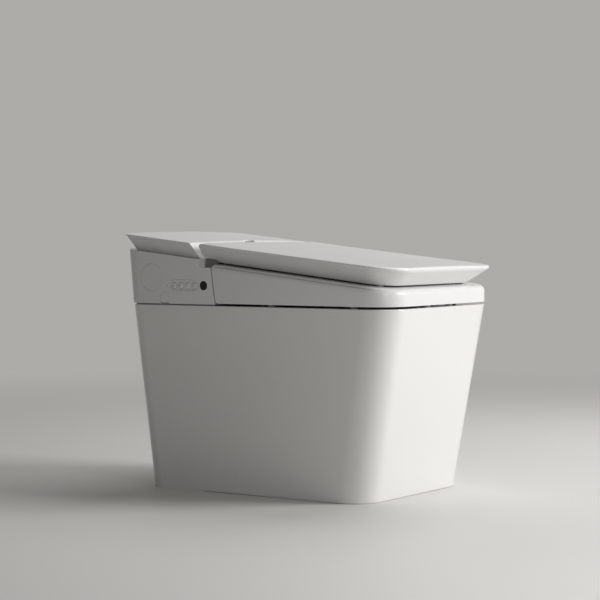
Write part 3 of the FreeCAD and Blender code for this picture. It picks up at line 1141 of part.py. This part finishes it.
def check_and_write():
    """Recompute, refuse anything failed or hollow of shape, and write one file per sub-part."""
    doc.recompute()
    for thing in doc.Objects:
        if "Invalid" in thing.State or "Error" in thing.State:
            raise RuntimeError("%s failed: %s" % (thing.Name, thing.State))
    for thing in doc.Objects:
        cuts = thing.TypeId in ("PartDesign::Pocket", "PartDesign::SubtractiveLoft",
                                "PartDesign::SubtractivePipe", "PartDesign::Groove")
        if cuts and thing.Shape.Volume > thing.BaseFeature.Shape.Volume - 0.01:
            raise RuntimeError("%s cuts nothing" % thing.Name)
    os.makedirs("parts", exist_ok=True)
    for thing in pieces:
        if thing.Shape.isNull() or not thing.Shape.isValid():
            raise RuntimeError("%s has no valid shape" % thing.Label)
        thing.Shape.exportStep("parts/%s.step" % thing.Label)
        print("%-24s solids %d  volume %.1f cm3" % (thing.Label, len(thing.Shape.Solids),
                                                   thing.Shape.Volume / 1000))


ceramic_body()
lid_shell()
lid_panel()
seat_shells()
seat_heater()
hinge_parts()
bumpers()
base_plate()
rear_housing()
rear_cover()
side_controls()
odour_filter()
nozzle_cover()
spray_wands()
warm_air_dryer()
water_parts()
power_parts()
check_and_write()
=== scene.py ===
"""Looks of the smart toilet: finishes, rounded edges, the lid, the buttons, studio and camera.

Lengths are in metres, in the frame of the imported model, whose front looks along -Y.
"""
import json
import math
import bmesh
import bpy
import numpy as np
from mathutils import Matrix, Vector


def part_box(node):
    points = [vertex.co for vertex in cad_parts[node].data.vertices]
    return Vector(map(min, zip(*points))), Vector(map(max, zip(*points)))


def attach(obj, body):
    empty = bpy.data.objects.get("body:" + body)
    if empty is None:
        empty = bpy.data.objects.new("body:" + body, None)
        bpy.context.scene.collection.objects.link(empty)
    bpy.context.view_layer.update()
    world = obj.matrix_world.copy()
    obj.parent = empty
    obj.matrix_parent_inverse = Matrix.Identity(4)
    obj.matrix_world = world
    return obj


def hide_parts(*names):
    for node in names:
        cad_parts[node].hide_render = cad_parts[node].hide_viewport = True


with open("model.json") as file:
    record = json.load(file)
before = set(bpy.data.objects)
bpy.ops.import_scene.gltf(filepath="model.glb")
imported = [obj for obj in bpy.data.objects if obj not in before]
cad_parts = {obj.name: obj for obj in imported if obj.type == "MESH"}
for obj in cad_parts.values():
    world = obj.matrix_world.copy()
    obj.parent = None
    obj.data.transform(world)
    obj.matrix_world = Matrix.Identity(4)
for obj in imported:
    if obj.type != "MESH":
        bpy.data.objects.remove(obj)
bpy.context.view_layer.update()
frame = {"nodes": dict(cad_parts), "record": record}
nodes = frame["nodes"]
subparts = frame["record"]["subparts"]
scene = bpy.context.scene

SLOT_OF = {part["node"]: part["material_slot"] for part in subparts}
BODY_OF = {node: body for body, kept in frame["record"]["behaviour"]["bodies"].items()
           for node in kept}


# ---------- finishes ----------

SLOW_SCALE, SLOW_DETAIL, FINE_DETAIL = 7.0, 2.0, 5.0
COAT_ROUGHNESS, LEAST_ROUGHNESS, RELIEF_DEPTH = 0.05, 0.01, 0.0005
SHARP_ANGLE, WELD = math.radians(32.0), 1e-6


def noise(tree, place, scale, detail):
    """A noise over object space."""
    texture = tree.nodes.new("ShaderNodeTexNoise")
    texture.inputs["Scale"].default_value = scale
    texture.inputs["Detail"].default_value = detail
    tree.links.new(place.outputs["Object"], texture.inputs["Vector"])
    return texture.outputs["Fac"]


def finish_material(name, colour, rough, spread, bump, grain, fleck=0.0, metal=0.0, coat=0.0,
                    ior=1.5):
    """A shader whose roughness, tint and relief wander with noise in object space.

    roughness = rough +- spread along a slow noise; tint = the colour, darkened by up to fleck where
    a fine noise of that grain is high; height = the same fine noise, as strong as bump says.
    """
    material = bpy.data.materials.new(name)
    material.use_nodes = True
    tree = material.node_tree
    shader = tree.nodes["Principled BSDF"]
    shader.inputs["Metallic"].default_value = metal
    shader.inputs["IOR"].default_value = ior
    shader.inputs["Coat Weight"].default_value = coat
    shader.inputs["Coat Roughness"].default_value = COAT_ROUGHNESS
    place = tree.nodes.new("ShaderNodeTexCoord")
    fine = noise(tree, place, grain, FINE_DETAIL)
    slow = noise(tree, place, SLOW_SCALE, SLOW_DETAIL)
    roughness = tree.nodes.new("ShaderNodeMapRange")
    roughness.inputs["To Min"].default_value = max(rough - spread, LEAST_ROUGHNESS)
    roughness.inputs["To Max"].default_value = rough + spread
    tree.links.new(slow, roughness.inputs["Value"])
    tree.links.new(roughness.outputs["Result"], shader.inputs["Roughness"])
    tint = tree.nodes.new("ShaderNodeMix")
    tint.data_type = "RGBA"
    tint.inputs["A"].default_value = (*colour, 1.0)
    tint.inputs["B"].default_value = (*[c * (1.0 - fleck) for c in colour], 1.0)
    tree.links.new(fine, tint.inputs["Factor"])
    tree.links.new(tint.outputs["Result"], shader.inputs["Base Color"])
    relief = tree.nodes.new("ShaderNodeBump")
    relief.inputs["Strength"].default_value = bump
    relief.inputs["Distance"].default_value = RELIEF_DEPTH
    tree.links.new(fine, relief.inputs["Height"])
    tree.links.new(relief.outputs["Normal"], shader.inputs["Normal"])
    return material


# slot, finish, colour, roughness, its spread, relief, grain, fleck, and what else it has
FINISH_ROWS = (
    ("ceramic", "fired_glaze", (0.80, 0.79, 0.775), 0.10, 0.03, 0.015, 40.0, 0.01, {"coat": 0.6}),
    ("white_plastic", "moulded_white", (0.79, 0.785, 0.775), 0.22, 0.04, 0.03, 120.0, 0.01, {}),
    # the hinge's mid grey is partly the grey of hinge plastic and partly painted shade, darkening
    # the hinge recess under the lid
    ("hinge_plastic", "hinge_grey_and_painted_shade", (0.20, 0.20, 0.195), 0.35, 0.05, 0.05, 150.0, 0.02, {}),
    ("inner_plastic", "inner_grey", (0.42, 0.43, 0.44), 0.5, 0.08, 0.1, 150.0, 0.05, {}),
    ("bezel_plastic", "bezel_white", (0.78, 0.775, 0.765), 0.30, 0.05, 0.05, 150.0, 0.02, {}),
    ("smoke_lens", "smoke_lens", (0.22, 0.225, 0.22), 0.15, 0.04, 0.02, 90.0, 0.0, {"coat": 0.3}),
    ("button_plastic", "button_white", (0.80, 0.80, 0.79), 0.25, 0.05, 0.03, 150.0, 0.01, {}),
    ("lamp_plastic", "lamp_lens", (0.45, 0.50, 0.45), 0.2, 0.04, 0.02, 90.0, 0.02, {}),
    ("dark_lens", "dark_lens", (0.008, 0.008, 0.009), 0.12, 0.04, 0.02, 90.0, 0.0, {"ior": 1.3}),
    ("wand_plastic", "wand_white", (0.78, 0.78, 0.78), 0.2, 0.04, 0.03, 90.0, 0.01, {}),
    ("carbon_filter", "carbon_foam", (0.04, 0.04, 0.04), 0.8, 0.1, 0.8, 300.0, 0.4, {}),
    ("circuit_board", "board_green", (0.03, 0.16, 0.08), 0.45, 0.1, 0.1, 200.0, 0.2, {}),
    ("seal_rubber", "seal_rubber", (0.035, 0.035, 0.035), 0.6, 0.08, 0.2, 120.0, 0.1, {}),
    ("bumper_rubber", "bumper_rubber", (0.55, 0.55, 0.54), 0.6, 0.08, 0.2, 120.0, 0.05, {}),
    ("steel", "pin_steel", (0.62, 0.62, 0.63), 0.3, 0.1, 0.1, 200.0, 0.05, {"metal": 1.0}),
    ("motor_steel", "motor_steel", (0.42, 0.42, 0.43), 0.4, 0.1, 0.1, 200.0, 0.08, {"metal": 1.0}),
    ("heater_alloy", "pressed_alloy", (0.60, 0.60, 0.61), 0.42, 0.1, 0.1, 160.0, 0.05,
     {"metal": 1.0}),
    ("brass", "turned_brass", (0.70, 0.53, 0.22), 0.28, 0.1, 0.1, 160.0, 0.05, {"metal": 1.0}),
)
FINISHES = {slot: finish_material(*row, **more) for slot, *row, more in FINISH_ROWS}
for part in subparts:
    mesh = nodes[part["node"]].data
    mesh.materials.clear()
    mesh.materials.append(FINISHES[part["material_slot"]])


def dressed(name, mesh, node):
    """A mesh as the look of a node: smooth, with the node's finish, on the node's body."""
    mesh.materials.clear()
    mesh.materials.append(FINISHES[SLOT_OF[node]])
    mesh.shade_smooth()
    mesh.set_sharp_from_angle(angle=SHARP_ANGLE)
    piece = bpy.data.objects.new(name, mesh)
    scene.collection.objects.link(piece)
    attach(piece, BODY_OF[node])
    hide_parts(node)
    return piece


# ---------- rounded edges ----------

# an edge over the first angle is rounded; faces within the second are one flat face
ROUNDED_ANGLE, FLAT_ANGLE = math.radians(25.0), math.radians(0.4)
ROUNDING_SEGMENTS = 4
RIM_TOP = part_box("rim_deck")[1][2]
NEAR = 0.0008


def softened(name, width, height_test=None):
    """A node's own form with its sharp edges rounded: radius = width along each chosen edge.

    The copy's doubles are merged and its flat faces made whole. An edge is rounded where its faces
    meet at more than ROUNDED_ANGLE and the height of its middle passes the test.
    """
    build = bmesh.new()
    build.from_mesh(nodes[name].data)
    bmesh.ops.remove_doubles(build, verts=build.verts, dist=WELD)
    bmesh.ops.dissolve_limit(build, angle_limit=FLAT_ANGLE, verts=build.verts, edges=build.edges)
    weight = build.edges.layers.float.new("bevel_weight_edge")
    for edge in build.edges:
        height = (edge.verts[0].co.z + edge.verts[1].co.z) / 2
        chosen = height_test is None or height_test(height)
        edge[weight] = float(chosen and edge.calc_face_angle(0.0) > ROUNDED_ANGLE)
    mesh = bpy.data.meshes.new("soft_" + name)
    build.to_mesh(mesh)
    build.free()
    if "custom_normal" in mesh.attributes:
        mesh.attributes.remove(mesh.attributes["custom_normal"])
    rounding = dressed("soft_" + name, mesh, name).modifiers.new("rounding", "BEVEL")
    rounding.width = width
    rounding.segments = ROUNDING_SEGMENTS
    rounding.limit_method = "WEIGHT"
    rounding.harden_normals = True
    rounding.use_clamp_overlap = True
    rounding.miter_outer = "MITER_ARC"


softened("rim_deck", 0.0025, lambda height: height > RIM_TOP - NEAR)
softened("pedestal_skirt", 0.0025, lambda height: height < NEAR)
for name, width in (("rear_top_cover", 0.0014), ("seat_upper_shell", 0.0016),
                    ("rear_housing", 0.0006), ("button_bezel", 0.0005), ("filter_cap", 0.0009),
                    ("release_button", 0.0007), ("sensor_window", 0.0006),
                    ("nozzle_cover", 0.0010), ("lid_inner_panel", 0.0006)):
    softened(name, width)


# ---------- the lid ----------

# The lid's own frame lies on its sloping top: x across, y along from the front, depth downwards.
SLOPE = math.radians(6.16)
TOP_FRONT = np.array([0.0, -0.326, 0.4473])
LID_HALF, LID_REACH, LID_DEPTH = 0.204, 0.451 / math.cos(SLOPE), 0.0375
LID_UNDERCUT, LID_LIP, LID_CORNER, LID_UNDER_CORNER = 0.034, 0.006, 0.060, 0.050
SLANT = (LID_DEPTH - LID_LIP) / LID_UNDERCUT
# the lip's curve: its insets above and below, and how far its two handles are drawn outwards
LIP_TOP, LIP_LOW, LIP_TOP_PULL, LIP_LOW_PULL = 0.0075, 0.004, 0.0098, 0.0052
# the top's two inner rows, and the foot's steps inwards and upwards from the lid's lowest plane
TOP_INSETS, FOOT_INSETS, FOOT_RISES = [0.020, 0.010], [0.0, 0.0012, 0.0034], [0.0004, 0.0, 0.0]
LIP_STEPS, CUT_STEPS = 14, 14
LID_CROWN, CROWN_HALF, FRONT_LIFT = 0.0025, 0.205, 0.002
CROWN_POWER, HINGE_POWER, HINGE_EASE = 2.0, 16.0, 0.060
# the rear end is a round nose above, whose centre is at NOSE_ALONG, and a rounder heel below
NOSE, HEEL_ROUND, NOSE_SHIFT = 0.012, 0.016, 0.006
NOSE_ALONG, NOSE_END = LID_REACH - NOSE, LID_REACH + NOSE_SHIFT
# the outline's rear corners shrink as it is inset; the top's inner rows end short of the nose
REAR_CORNER, REAR_CORNER_LEAST, REAR_CORNER_SHRINK, TOP_REAR_SHARE = 0.005, 0.0008, 0.25, 0.5
LID_WALL, LID_ROOF, LID_SOLID_REAR = 0.0051, 0.0085, 0.036
INSIDE_EDGE_IN, INSIDE_EDGE_UP = 0.001, 0.002
EDGE_STEPS, CORNER_STEPS, SIDE_STEPS = 40, 14, 30
# hinge notches: round seat, mouth in front of the pin, reach behind it and depth below it
NOTCH_SEAT, NOTCH_MOUTH, NOTCH_REACH, NOTCH_LOW = 0.01115, 0.013, 0.030, 0.060
NOTCH_INNER, NOTCH_OUTER, NOTCH_ARC, NOTCH_STEPS = 0.127, 0.176, (200.0, 72.0), 22


def half_outline(half, front, rear, corner, rear_corner):
    """Right half of a plan outline, front to rear: arc, straight side, arc, as x and y arrays."""
    turn = np.linspace(-math.pi / 2, 0.0, CORNER_STEPS + 1)
    along = np.linspace(front + corner, rear - rear_corner, SIDE_STEPS + 1)[1:-1]
    x = np.concatenate([half - corner + corner * np.cos(turn), np.full(SIDE_STEPS - 1, half),
                        half - rear_corner + rear_corner * np.cos(turn[::-1])])
    y = np.concatenate([front + corner + corner * np.sin(turn), along,
                        rear - rear_corner - rear_corner * np.sin(turn[::-1])])
    return x, y


def whole_outline(half, front, rear, corner, rear_corner):
    """The closed outline, anticlockwise from its front left: front edge, right, rear edge, left."""
    x, y = half_outline(half, front, rear, corner, rear_corner)
    across = np.linspace(-1.0, 1.0, EDGE_STEPS + 1)
    return (np.concatenate([x[0] * across, x[1:], -x[-1] * across[1:], -x[-2:0:-1]]),
            np.concatenate([np.full(EDGE_STEPS + 1, y[0]), y[1:], np.full(EDGE_STEPS, y[-1]),
                            y[-2:0:-1]]))


def crown_fall(x, y):
    """Fall of the lid's top from its plane.

    fall = crown times the share of the half width to a power, less a lift. The power rises
    smoothly from a parabola's to a flatter curve's near the hinge line. The lift grows evenly
    from nothing at the hinge end to FRONT_LIFT at the front.
    """
    near = np.clip((y - NOSE_ALONG + HINGE_EASE) / HINGE_EASE, 0.0, 1.0)
    power = CROWN_POWER + (HINGE_POWER - CROWN_POWER) * near * near * (3.0 - 2.0 * near)
    lift = FRONT_LIFT * (1.0 - np.clip(y / NOSE_ALONG, 0.0, 1.0))
    return LID_CROWN * np.abs(x / CROWN_HALF) ** power - lift


def lid_rear(depth):
    """How far back the lid reaches at a depth: a round nose above, a rounder heel below."""
    above = np.clip(NOSE - depth, 0.0, NOSE)
    below = np.clip(depth - LID_DEPTH + HEEL_ROUND, 0.0, HEEL_ROUND)
    return NOSE_END - (NOSE - np.sqrt(NOSE ** 2 - above ** 2)
                       + HEEL_ROUND - np.sqrt(HEEL_ROUND ** 2 - below ** 2))


def lid_levels():
    """The lid's profile as rows of inset, depth, share of the crown's fall, corner and rear reach.

    From the top outwards: the top, a cubic curve round the lip, the straight undercut, a small
    round at the bottom, the underside, and back up the inside to the hollow's roof. The undercut's
    depth = LID_LIP plus the inset times SLANT.
    """
    t = np.linspace(0.0, 1.0, LIP_STEPS + 1)
    a, b, c, d = (1 - t) ** 3, 3 * t * (1 - t) ** 2, 3 * t * t * (1 - t), t ** 3
    top_handle, low_handle = LIP_TOP - LIP_TOP_PULL, LIP_LOW - LIP_LOW_PULL
    lip_inset = a * LIP_TOP + b * top_handle + c * low_handle + d * LIP_LOW
    lip_depth = c * (LID_LIP + low_handle * SLANT) + d * (LID_LIP + LIP_LOW * SLANT)
    foot = np.array(FOOT_INSETS)
    cut = np.linspace(LIP_LOW, LID_UNDERCUT - foot[1], CUT_STEPS + 1)[1:]
    inner_low = LID_UNDERCUT + LID_WALL
    inner_top = (LID_ROOF - LID_LIP) / SLANT + LID_WALL
    inside = np.array([[inner_low, LID_DEPTH],
                       [inner_low - INSIDE_EDGE_IN, LID_DEPTH - INSIDE_EDGE_UP],
                       [inner_top, LID_ROOF]])
    inset = np.concatenate([TOP_INSETS, lip_inset, cut, LID_UNDERCUT + foot, inside[:, 0]])
    depth = np.concatenate([[0.0, 0.0], lip_depth, LID_LIP + cut * SLANT,
                            LID_DEPTH - np.array(FOOT_RISES), inside[:, 1]])
    fall = np.concatenate([[1.0, 1.0], a + b, np.zeros(len(cut) + len(foot) + len(inside))])
    corner = np.where(fall > 0.5, LID_CORNER - inset,
                      LID_CORNER - (LID_CORNER - LID_UNDER_CORNER) * inset / LID_UNDERCUT)
    # the top's inner rows, the underside and the inside have rear ends of their own
    rear = lid_rear(depth)
    rear[:2] = NOSE_END - NOSE - inset[:2] * TOP_REAR_SHARE
    rear[-5:-3] = NOSE_END - HEEL_ROUND - foot[1:]
    rear[-3:] = LID_REACH - LID_SOLID_REAR
    return np.stack([inset, depth, fall, corner, rear], axis=1)


def on_slope(x, y, height):
    """Points of the lid's own frame as points of the object's frame."""
    return np.stack([x, TOP_FRONT[1] + y * math.cos(SLOPE) - height * math.sin(SLOPE),
                     TOP_FRONT[2] + y * math.sin(SLOPE) + height * math.cos(SLOPE)], axis=-1)


def grid_faces(rows, columns, closed=False, flip=False):
    """Quads over a grid of points, row by row; closed joins the last column to the first."""
    index = np.arange(rows * columns).reshape(rows, columns)
    if closed:
        index = np.concatenate([index, index[:, :1]], axis=1)
    quads = np.stack([index[:-1, :-1], index[:-1, 1:], index[1:, 1:], index[1:, :-1]], axis=-1)
    quads = quads.reshape(-1, 4)
    return quads[:, ::-1] if flip else quads


def closed_mesh(name, points, faces):
    """A mesh of points and faces with doubles merged and normals outward."""
    mesh = bpy.data.meshes.new(name)
    mesh.from_pydata(points.tolist(), [], faces)
    build = bmesh.new()
    build.from_mesh(mesh)
    bmesh.ops.remove_doubles(build, verts=build.verts, dist=WELD)
    bmesh.ops.recalc_face_normals(build, faces=build.faces)
    build.to_mesh(mesh)
    build.free()
    return mesh


def merged_mesh(name, grids):
    """One mesh of several grids, each given as points and faces, with shared borders merged."""
    points, faces, start = [], [], 0
    for grid_points, quads in grids:
        points.append(grid_points.reshape(-1, 3))
        faces.append(quads + start)
        start += len(points[-1])
    return closed_mesh(name, np.concatenate(points), np.concatenate(faces).tolist())


def lid_outside():
    """The lid's shell: plan outlines stacked along its profile, closed above and inside by grids.

    height = -depth, less the level's share of the crown's fall.
    """
    rows, caps = [], []
    levels = lid_levels()
    for number, (inset, depth, share, corner, rear) in enumerate(levels):
        rear_corner = np.clip(REAR_CORNER - inset * REAR_CORNER_SHRINK, REAR_CORNER_LEAST,
                              REAR_CORNER)
        outline = (LID_HALF - inset, inset, rear, corner, rear_corner)
        x, y = whole_outline(*outline)
        rows.append(on_slope(x, y, -depth - share * crown_fall(x, y)))
        if number in (0, len(levels) - 1):
            x, y = half_outline(*outline)
            x = x[:, None] * np.linspace(-1.0, 1.0, EDGE_STEPS + 1)[None, :]
            y = np.broadcast_to(y[:, None], x.shape)
            cap = on_slope(x, y, -depth - share * crown_fall(x, y))
            caps.append((cap, grid_faces(*cap.shape[:2], flip=number > 0)))
    wall = np.stack(rows)
    return merged_mesh("lid_outside", [(wall, grid_faces(*wall.shape[:2], closed=True))] + caps)


def hinge_notches():
    """Two keyholes along X that leave room for the hinge: round about the pin and open behind."""
    turn = np.radians(np.linspace(*NOTCH_ARC, NOTCH_STEPS))
    along = np.concatenate([[-NOTCH_MOUTH] * 2, NOTCH_SEAT * np.cos(turn),
                            [NOTCH_REACH * math.cos(turn[-1]), NOTCH_REACH, NOTCH_REACH]])
    height = np.concatenate([[-NOTCH_LOW, NOTCH_SEAT * math.sin(turn[0])],
                             NOTCH_SEAT * np.sin(turn),
                             [NOTCH_REACH * math.sin(turn[-1])] * 2, [-NOTCH_LOW]])
    count = len(along)
    first = np.arange(count)
    following = (first + 1) % count
    sides = np.stack([first, following, following + count, first + count], axis=1)
    points, faces = [], []
    for inner, outer in ((NOTCH_INNER, NOTCH_OUTER), (-NOTCH_OUTER, -NOTCH_INNER)):
        start = count * len(points)
        for x in (inner, outer):
            points.append(on_slope(np.full(count, x), NOSE_ALONG + along, height - NOSE))
        faces += (start + sides).tolist()
        faces += [(start + first[::-1]).tolist(), (start + count + first).tolist()]
    return closed_mesh("hinge_notches", np.concatenate(points), faces)


def carved(mesh, tool, name):
    """The first mesh with the second taken out of it, as a mesh of its own."""
    block = bpy.data.objects.new(name, mesh)
    cutter = bpy.data.objects.new(name + "_tool", tool)
    for item in (block, cutter):
        scene.collection.objects.link(item)
    cut = block.modifiers.new("cut", "BOOLEAN")
    cut.operation, cut.solver, cut.object = "DIFFERENCE", "EXACT", cutter
    depsgraph = bpy.context.evaluated_depsgraph_get()
    made = bpy.data.meshes.new_from_object(block.evaluated_get(depsgraph))
    bpy.data.objects.remove(block)
    bpy.data.objects.remove(cutter)
    return made


dressed("lid_outside", carved(lid_outside(), hinge_notches(), "lid_block"), "lid_shell")


# ---------- the buttons ----------

BUTTONS, RED_BUTTON = 4, 4
BUTTON_RADIUS, BUTTON_RISE, BUTTON_EDGE = 0.0062, 0.0007, 0.0009
ROUND_STEPS, EDGE_RINGS, DOME_RINGS = 48, 7, 9
# a printed spot's radius, and how far its foot, edge and middle stand from the top of the dome
SPOT_RADIUS, SPOT_FOOT, SPOT_EDGE, SPOT_MIDDLE = 0.0011, -0.0003, 0.00004, 0.00006


def turned(name, across, out, middle):
    """A solid turned about the X axis through a middle point: radius across, height out in -X."""
    turn = np.linspace(0.0, 2.0 * math.pi, ROUND_STEPS, endpoint=False)
    x = np.broadcast_to(middle[0] - out[:, None], (len(out), ROUND_STEPS))
    y = middle[1] + across[:, None] * np.cos(turn)
    z = middle[2] + across[:, None] * np.sin(turn)
    wall = np.stack([x, y, z], axis=-1)
    return merged_mesh(name, [(wall, grid_faces(*wall.shape[:2], closed=True))])


def domed_button(index):
    """A button's cap: a flat bottom, a straight skirt, a rounded edge and a low dome.

    Over the dome, height = rise times one minus the square of the share of the dome's radius.
    """
    node = "button_%d" % index
    (x, y0, z0), (end, y1, z1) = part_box(node)
    middle = (x, (y0 + y1) / 2, (z0 + z1) / 2)
    dome = BUTTON_RADIUS - BUTTON_EDGE
    arc = np.linspace(0.0, math.pi / 2, EDGE_RINGS)
    inner = np.linspace(dome, 0.0, DOME_RINGS + 1)[1:]
    across = np.concatenate([[0.0, BUTTON_RADIUS],
                             BUTTON_RADIUS - BUTTON_EDGE * (1.0 - np.cos(arc)), inner])
    out = np.concatenate([[x - end, x - end], -BUTTON_EDGE * (1.0 - np.sin(arc)),
                          BUTTON_RISE * (1.0 - (inner / dome) ** 2)])
    dressed("domed_" + node, turned("domed_" + node, across, out, middle), node)
    return middle


def button_mark(index, middle, finish):
    """A small printed spot on a button's top: a disc that follows the dome."""
    node, name = "button_%d" % index, "button_mark_%d" % index
    across = np.array([0.0, SPOT_RADIUS, SPOT_RADIUS, 0.0])
    out = BUTTON_RISE + np.array([SPOT_FOOT, SPOT_FOOT, SPOT_EDGE, SPOT_MIDDLE])
    mesh = turned(name, across, out, middle)
    mesh.materials.append(finish)
    piece = bpy.data.objects.new(name, mesh)
    scene.collection.objects.link(piece)
    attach(piece, BODY_OF[node])


PRINT_GREY = finish_material("print_grey", (0.16, 0.16, 0.16), 0.5, 0.03, 0.02, 150.0)
PRINT_RED = finish_material("print_red", (0.36, 0.06, 0.05), 0.5, 0.03, 0.02, 150.0)
for index in range(1, BUTTONS + 1):
    button_mark(index, domed_button(index), PRINT_RED if index == RED_BUTTON else PRINT_GREY)


# ---------- floor and backdrop ----------

CAMERA_AZIMUTH = math.radians(-55.552)
STUDIO_GREY = (0.42, 0.41, 0.39, 1.0)
# the floor runs from in front of the object to the bend, which rises into the wall behind it
FLOOR_START, BEND_START, WALL_TOP, FLOOR_HALF = -9.0, 6.0, 7.0, 14.0
BEND_RADIUS, BEND_STEPS = 1.2, 40
# the paper is lit as it is up to the first distance from the object and plain grey past the second
LIT_TO, GREY_FROM = 0.9, 3.4


def math_node(tree, operation, first, second):
    """Two outputs joined by a math node."""
    node = tree.nodes.new("ShaderNodeMath")
    node.operation = operation
    tree.links.new(first, node.inputs[0])
    tree.links.new(second, node.inputs[1])
    return node.outputs["Value"]


def mix_seen(tree, lit, seen, output, share=None):
    """Show seen, by a share, to camera, glossy and transmission rays, and lit to all others."""
    rays = tree.nodes.new("ShaderNodeLightPath").outputs
    either = math_node(tree, "MAXIMUM", rays["Is Camera Ray"], rays["Is Glossy Ray"])
    either = math_node(tree, "MAXIMUM", either, rays["Is Transmission Ray"])
    if share:
        either = math_node(tree, "MULTIPLY", either, share)
    mix = tree.nodes.new("ShaderNodeMixShader")
    tree.links.new(either, mix.inputs["Fac"])
    tree.links.new(lit, mix.inputs[1])
    tree.links.new(seen, mix.inputs[2])
    tree.links.new(mix.outputs["Shader"], output.inputs["Surface"])


def studio_paper():
    """Pale paper: lit as it is round the object, and shown at a set light grey farther off."""
    material = finish_material("studio_paper", (0.70, 0.69, 0.67), 0.55, 0.05, 0.02, 30.0, 0.01)
    tree = material.node_tree
    place = tree.nodes.new("ShaderNodeTexCoord")
    away = tree.nodes.new("ShaderNodeVectorMath")
    away.operation = "LENGTH"
    tree.links.new(place.outputs["Object"], away.inputs[0])
    share = tree.nodes.new("ShaderNodeMapRange")
    share.interpolation_type = "SMOOTHSTEP"
    share.inputs["From Min"].default_value = LIT_TO
    share.inputs["From Max"].default_value = GREY_FROM
    tree.links.new(away.outputs["Value"], share.inputs["Value"])
    glow = tree.nodes.new("ShaderNodeEmission")
    glow.inputs["Color"].default_value = STUDIO_GREY
    mix_seen(tree, tree.nodes["Principled BSDF"].outputs["BSDF"], glow.outputs["Emission"],
             tree.nodes["Material Output"], share.outputs["Result"])
    return material


def backdrop():
    """A floor that rises behind into a wall along a quarter circle: one profile, swept sideways.

    The sweep is square to the photograph's view, so it is turned with the camera's azimuth.
    """
    arc = np.linspace(0.0, 1.0, BEND_STEPS) * math.pi / 2
    away = np.concatenate([[FLOOR_START], BEND_START + BEND_RADIUS * np.sin(arc),
                           [BEND_START + BEND_RADIUS]])
    up = np.concatenate([[0.0], BEND_RADIUS * (1.0 - np.cos(arc)), [WALL_TOP]])
    back = np.array([math.sin(CAMERA_AZIMUTH), -math.cos(CAMERA_AZIMUTH)])
    side = np.array([-back[1], back[0]])
    across = np.array([-FLOOR_HALF, FLOOR_HALF])
    rows = len(away)
    ground = -away[:, None, None] * back + across[None, :, None] * side
    points = np.concatenate([ground, np.broadcast_to(up[:, None, None], (rows, 2, 1))], axis=2)
    first = np.arange(rows - 1) * 2
    faces = np.stack([first, first + 1, first + 3, first + 2], axis=1)
    mesh = bpy.data.meshes.new("studio_floor")
    mesh.from_pydata(points.reshape(-1, 3).tolist(), [], faces.tolist())
    mesh.materials.append(studio_paper())
    mesh.shade_smooth()
    floor = bpy.data.objects.new("studio_floor", mesh)
    scene.collection.objects.link(floor)


backdrop()


# ---------- light ----------

# name, place, what it points at, width, and power in watts
LAMPS = (
    ("front_right_box", (1.6, -3.2, 1.9), (0.0, -0.1, 0.25), 1.8, 123.0),
    ("overhead_box", (1.5, -0.1, 2.6), (0.0, 0.0, 0.3), 1.8, 32.0),
    ("side_box", (-0.95, -1.40, 0.75), (-0.2, -0.15, 0.25), 0.5, 3.6),
)
AIR_COLOUR, AIR_STRENGTH = (1.0, 0.98, 0.95, 1.0), 0.10


def soft_lamp(name, place, aim, size, power):
    """A square lamp that points at its aim and isn't seen by the camera itself."""
    lamp = bpy.data.lights.new(name, "AREA")
    lamp.shape = "RECTANGLE"
    lamp.size = size
    lamp.size_y = size
    lamp.energy = power
    holder = bpy.data.objects.new(name, lamp)
    holder.location = place
    holder.rotation_mode = "QUATERNION"
    holder.rotation_quaternion = (Vector(aim) - Vector(place)).to_track_quat("-Z", "Y")
    holder.visible_camera = False
    scene.collection.objects.link(holder)


def studio_air():
    """Dim air that lights the object; camera, gloss and glass see it as the studio's grey."""
    world = bpy.data.worlds.new("studio_air")
    scene.world = world
    world.use_nodes = True
    tree = world.node_tree
    lit = tree.nodes["Background"]
    lit.inputs["Color"].default_value = AIR_COLOUR
    lit.inputs["Strength"].default_value = AIR_STRENGTH
    seen = tree.nodes.new("ShaderNodeBackground")
    seen.inputs["Color"].default_value = STUDIO_GREY
    mix_seen(tree, lit.outputs["Background"], seen.outputs["Background"],
             tree.nodes["World Output"])


for lamp_row in LAMPS:
    soft_lamp(*lamp_row)
studio_air()
scene.view_settings.view_transform = "Standard"


# ---------- camera ----------

CAMERA_PLACE = (-3.2495, -2.2045, 0.5190)
CAMERA_ELEVATION, CAMERA_ROLL = math.radians(2.055), math.radians(-0.167)
FOCAL_PIXELS, PHOTO_PIXELS, SENSOR_WIDTH = 1935.7, 600.0, 36.0
CLIP_START, CLIP_END = 0.05, 60.0


def photo_camera():
    """The photograph's camera, from its place, azimuth, elevation, roll and focal length."""
    azimuth, elevation, roll = CAMERA_AZIMUTH, CAMERA_ELEVATION, CAMERA_ROLL
    back = Vector((math.sin(azimuth) * math.cos(elevation),
                   -math.cos(azimuth) * math.cos(elevation), math.sin(elevation)))
    right = (-back).cross(Vector((0, 0, 1))).normalized()
    up = back.cross(right)
    level = right * math.cos(roll) + up * math.sin(roll)
    upright = up * math.cos(roll) - right * math.sin(roll)
    lens = bpy.data.cameras.new("photo_camera")
    lens.sensor_width = SENSOR_WIDTH
    lens.lens = SENSOR_WIDTH * FOCAL_PIXELS / PHOTO_PIXELS
    lens.clip_start, lens.clip_end = CLIP_START, CLIP_END
    camera = bpy.data.objects.new("photo_camera", lens)
    camera.matrix_world = Matrix((*zip(level, upright, back, CAMERA_PLACE), (0, 0, 0, 1)))
    scene.collection.objects.link(camera)
    scene.camera = camera


photo_camera()
